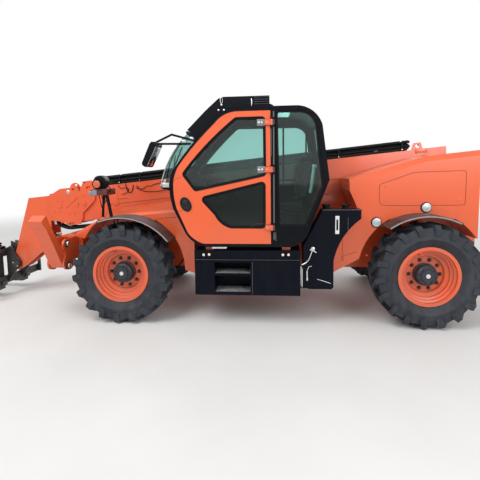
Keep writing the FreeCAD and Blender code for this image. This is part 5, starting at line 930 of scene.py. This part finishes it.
under = [block((-30, -880, 968), (240, -530, 1010), 10, 3), block((10, -840, 1006), (190, -570, 1240), 14, 3),
         block((-40, -900, 1238), (370, -510, 1306), 16, 3), block((300, -860, 1290), (352, -550, 1440), 10, 3),
         hose([(432, -790, 1800), (450, -790, 1872)], 7), hose([(432, -620, 1800), (450, -620, 1872)], 7),
         block((30, -945, 1400), (350, -915, 1450), 12, 3), block((30, -495, 1400), (350, -465, 1450), 12, 3),
         bar((330, -930, 1425), (362, -930, 1500), 26, 34, 8), bar((330, -480, 1425), (362, -480, 1500), 26, 34, 8)]
mount(join(under), "seat_frame", cab_plastic, "chassis")
disc = [turned((512, -930, 1800), (0, -1, 0), ((24, 4), (20, 7), (8, 9)), 24), bar((470, -926, 1500), (512, -926, 1800), 4, 40, 1)]
mount(join(disc), "seat_belt_reel", pin_bright, "chassis")
levers = [hose([(-430, -560, 1200), (-440, -560, 1380), (-470, -560, 1560)], 9), turned((-470, -560, 1556), (0, 0, 1), ((18, 10), (24, 24), (20, 44), (8, 50)), 20),
          hose([(120, -480, 1300), (100, -480, 1480), (90, -485, 1560)], 8), turned((90, -485, 1550), (0, 0, 1), ((20, 10), (25, 26), (20, 56), (8, 64)), 20),
          block((-790, -900, 1600), (-720, -500, 1690), 14, 3), turned((-600, -705, 1618), (0, 0, 1), ((44, 6), (40, 16), (26, 20)), 24)]
mount(join(levers), "cab_levers", cab_plastic, "chassis")

# Step box and tank: black folded sheet steel beside the chassis, below and behind the cab.
box_black = weathered("step_box_black_paint", (0.003, 0.004, 0.009), 0.34, 0.12,
                      dirt_colour=(0.03, 0.033, 0.045), shine=0.08)
dress(box_black, "step_box", "oil_tank", "side_skirt")
reflector = weathered("reflector_pale", (0.78, 0.74, 0.58), 0.2, 0.1, coat=0.6)
round_marks = [turned((x, -1143, z), (0, -1, 0), ((15, 3), (14, 6), (9, 8)), 24)
               for x, z in ((-739, 824), (-676, 827), (151, 827), (213, 828))]
mount(join(round_marks), "step_reflectors", reflector, "chassis")
tread_steel = weathered("tread_dusty_steel", (0.16, 0.16, 0.165), 0.55, 0.9, metal=0.3, grain=60, bump=0.15,
                        dirt_colour=(0.34, 0.33, 0.32))
treads = []
for low in (610, 396):
    treads.append(block((-616, -1128, low), (-214, -912, low + 4), 1.5))
    for index in range(13):
        x = -600 + index * 31
        for y in (-1100, -1050, -1000, -950):
            treads.append(turned((x, y, low + 4), (0, 0, 1), ((9, 2), (7, 4)), 8))
mount(join(treads), "step_treads", tread_steel, "chassis")
# The lines on the step box and tank are grey: painted highlights along their folded edges.
box_lines = [hose([(-189, -1143.6, 745), (-191, -1143.6, 372)], 2, straight=True),
             hose([(861, -1110.6, 1232), (861, -1110.6, 1040)], 2, straight=True),
             hose([(-845, -1151.5, 769), (345, -1151.5, 769)], 1.6, straight=True)]
mount(join(box_lines), "step_box_seams", trim_painted_highlight, "chassis")
silver = [hose([(362, -1118, 672), (364, -1118, 462)], 9, straight=True),
          hose([(418, -1116, 640), (421, -1116, 536)], 10, straight=True),
          turned((421, -1116, 560), (0, 0, -1), ((14, 10), (14, 24), (10, 30)), 12),
          bar((440, -1114, 690), (418, -1114, 640), 8, 8), bar((440, -1114, 690), (470, -1114, 694), 8, 8),
          turned((481, -1110, 893), (0, -1, 0), ((24, 10), (22, 22), (13, 24), (13, 34), (8, 36)), 24),
          bar((470, -1128, 884), (520, -1128, 850), 9, 12, 3), bar((446, -1126, 886), (486, -1126, 866), 9, 10, 3),
          hose([(474, -1126, 872), (462, -1128, 840), (446, -1126, 790), (430, -1120, 758), (396, -1118, 722),
                (356, -1118, 708)], 6.5),
          bar((531, -1112, 547), (682, -1112, 500), 6, 7, 2)]
mount(join(silver), "tank_drain_and_rods", cap_steel, "chassis")
lower = [block((432, -1118, 434), (696, -1104, 450), 3), block((345, -1120, 690), (372, -1096, 704), 2),
         block((345, -1120, 448), (372, -1096, 462), 2)]
mount(join(lower), "tank_foot_rail", box_black, "chassis")
# A grey line along the tank's lip: painted highlight.
mount(hose([(588, -1119.5, 1321), (790, -1119.5, 1321), (1009, -1119.5, 1321)], 2.4, straight=True), "tank_lip_line",
      trim_painted_highlight, "chassis")
caps = []
for x in (642, 862):
    caps.append(turned((x, -960, 1316), (0, 0, 1), ((52, 12), (48, 16), (38, 17), (38, 40), (46, 42), (46, 54), (40, 58))))
    caps.append(bar((x - 52, -960, 1362), (x + 52, -960, 1362), 20, 18, 5))
mount(join(caps), "tank_caps", rubber_black, "chassis")
gauge_white = weathered("gauge_frame_white", (0.72, 0.73, 0.74), 0.35, 0.25)
gauge = [block((723, -1119, 1216), (766, -1110, 1256), 3), block((723, -1119, 1057), (766, -1110, 1097), 3),
         block((723, -1117, 1090), (734, -1110, 1222), 2), block((755, -1117, 1090), (766, -1110, 1222), 2)]
mount(join(gauge), "oil_gauge_frame", gauge_white, "chassis")
mount(block((733, -1113, 1092), (756, -1110, 1220), 1), "oil_gauge_slot", cab_plastic, "chassis")

# Engine: one block inside the hood.
dress(axle_black, "engine_block")

# Lamps: black housings on thin posts at the front, round lenses on the rear covers.
dress(cab_plastic, "front_lamps", "lamp_posts")
lens = bpy.data.materials.new("clear_lamp_lens")
lens.use_nodes = True
shader = lens.node_tree.nodes["Principled BSDF"]
shader.inputs["Base Color"].default_value = (0.72, 0.76, 0.78, 1)
shader.inputs["Roughness"].default_value = 0.15
shader.inputs["Coat Weight"].default_value = 0.8
dress(lens, "side_lamps")
tail_red = weathered("tail_lamp_red", (0.55, 0.012, 0.010), 0.18, 0.1, grain=90, bump=0.15, coat=0.8)
dress(tail_red, "tail_lamps")
strips = []
for low, high in ((615, 680), (684, 716)):
    strips.append(block((2366, -high, 1236), (2374, -low, 1324), 3))
mount(both_sides(strips[1:]), "tail_lamp_amber", weathered("tail_lamp_amber", (0.80, 0.22, 0.02), 0.2, 0.1, coat=0.8),
      "chassis")
mount(both_sides(strips[:1]), "tail_lamp_bars", tail_red, "chassis")
amber = weathered("front_lamp_amber", (0.62, 0.10, 0.02), 0.2, 0.1, grain=60, bump=0.2, coat=0.8)
lights = [turned((-1984, -1078, 1632), (0, -1, 0), ((43, 3), (42, 8), (30, 12), (14, 13)), 40)]
mount(both_sides(lights), "front_lamp_ambers", amber, "chassis")
hoods = [turned((-1984, -1062, 1632), (0, -1, 0), ((58, 12), (56, 17), (46, 18), (45, 14)), 40),
         turned((-1968, -1000, 1652), (0, 1, 0), ((80, 30), (80, 60), (60, 66)), 40)]
mount(both_sides(hoods), "front_lamp_rims", cab_plastic, "chassis")
lamp_grey = weathered("work_lamp_grey", (0.22, 0.25, 0.27), 0.4, 0.3, metal=0.2)
cases = [block((-2108, -1050, 1499), (-2060, -952, 1552), 8, 3), block((-2062, -1052, 1497), (-2004, -950, 1564), 8, 3)]
mount(both_sides(cases), "work_lamp_cases", lamp_grey, "chassis")
shelf_red = weathered("lamp_shelf_red_brown", (0.11, 0.014, 0.010), 0.45, 0.5, dirt_colour=(0.16, 0.10, 0.08))
shelves = [block((-2058, -1047, 1503), (-1883, -798, 1577), 4)]
mount(both_sides(shelves), "lamp_shelves", shelf_red, "chassis")
loops = [hose([(-1996, -1010, 1505), (-1984, -1012, 1450), (-1972, -1012, 1370), (-1956, -1012, 1332), (-1940, -1012, 1360),
               (-1924, -1012, 1450), (-1918, -1010, 1505)], 5),
         hose([(-1990, -960, 1505), (-1975, -962, 1430), (-1950, -962, 1400), (-1930, -962, 1440), (-1925, -960, 1505)], 4),
         hose([(-1900, -1000, 1620), (-1860, -990, 1590), (-1880, -960, 1540), (-1900, -930, 1505)], 5)]
mount(both_sides(loops), "lamp_wires", rubber_black, "chassis")
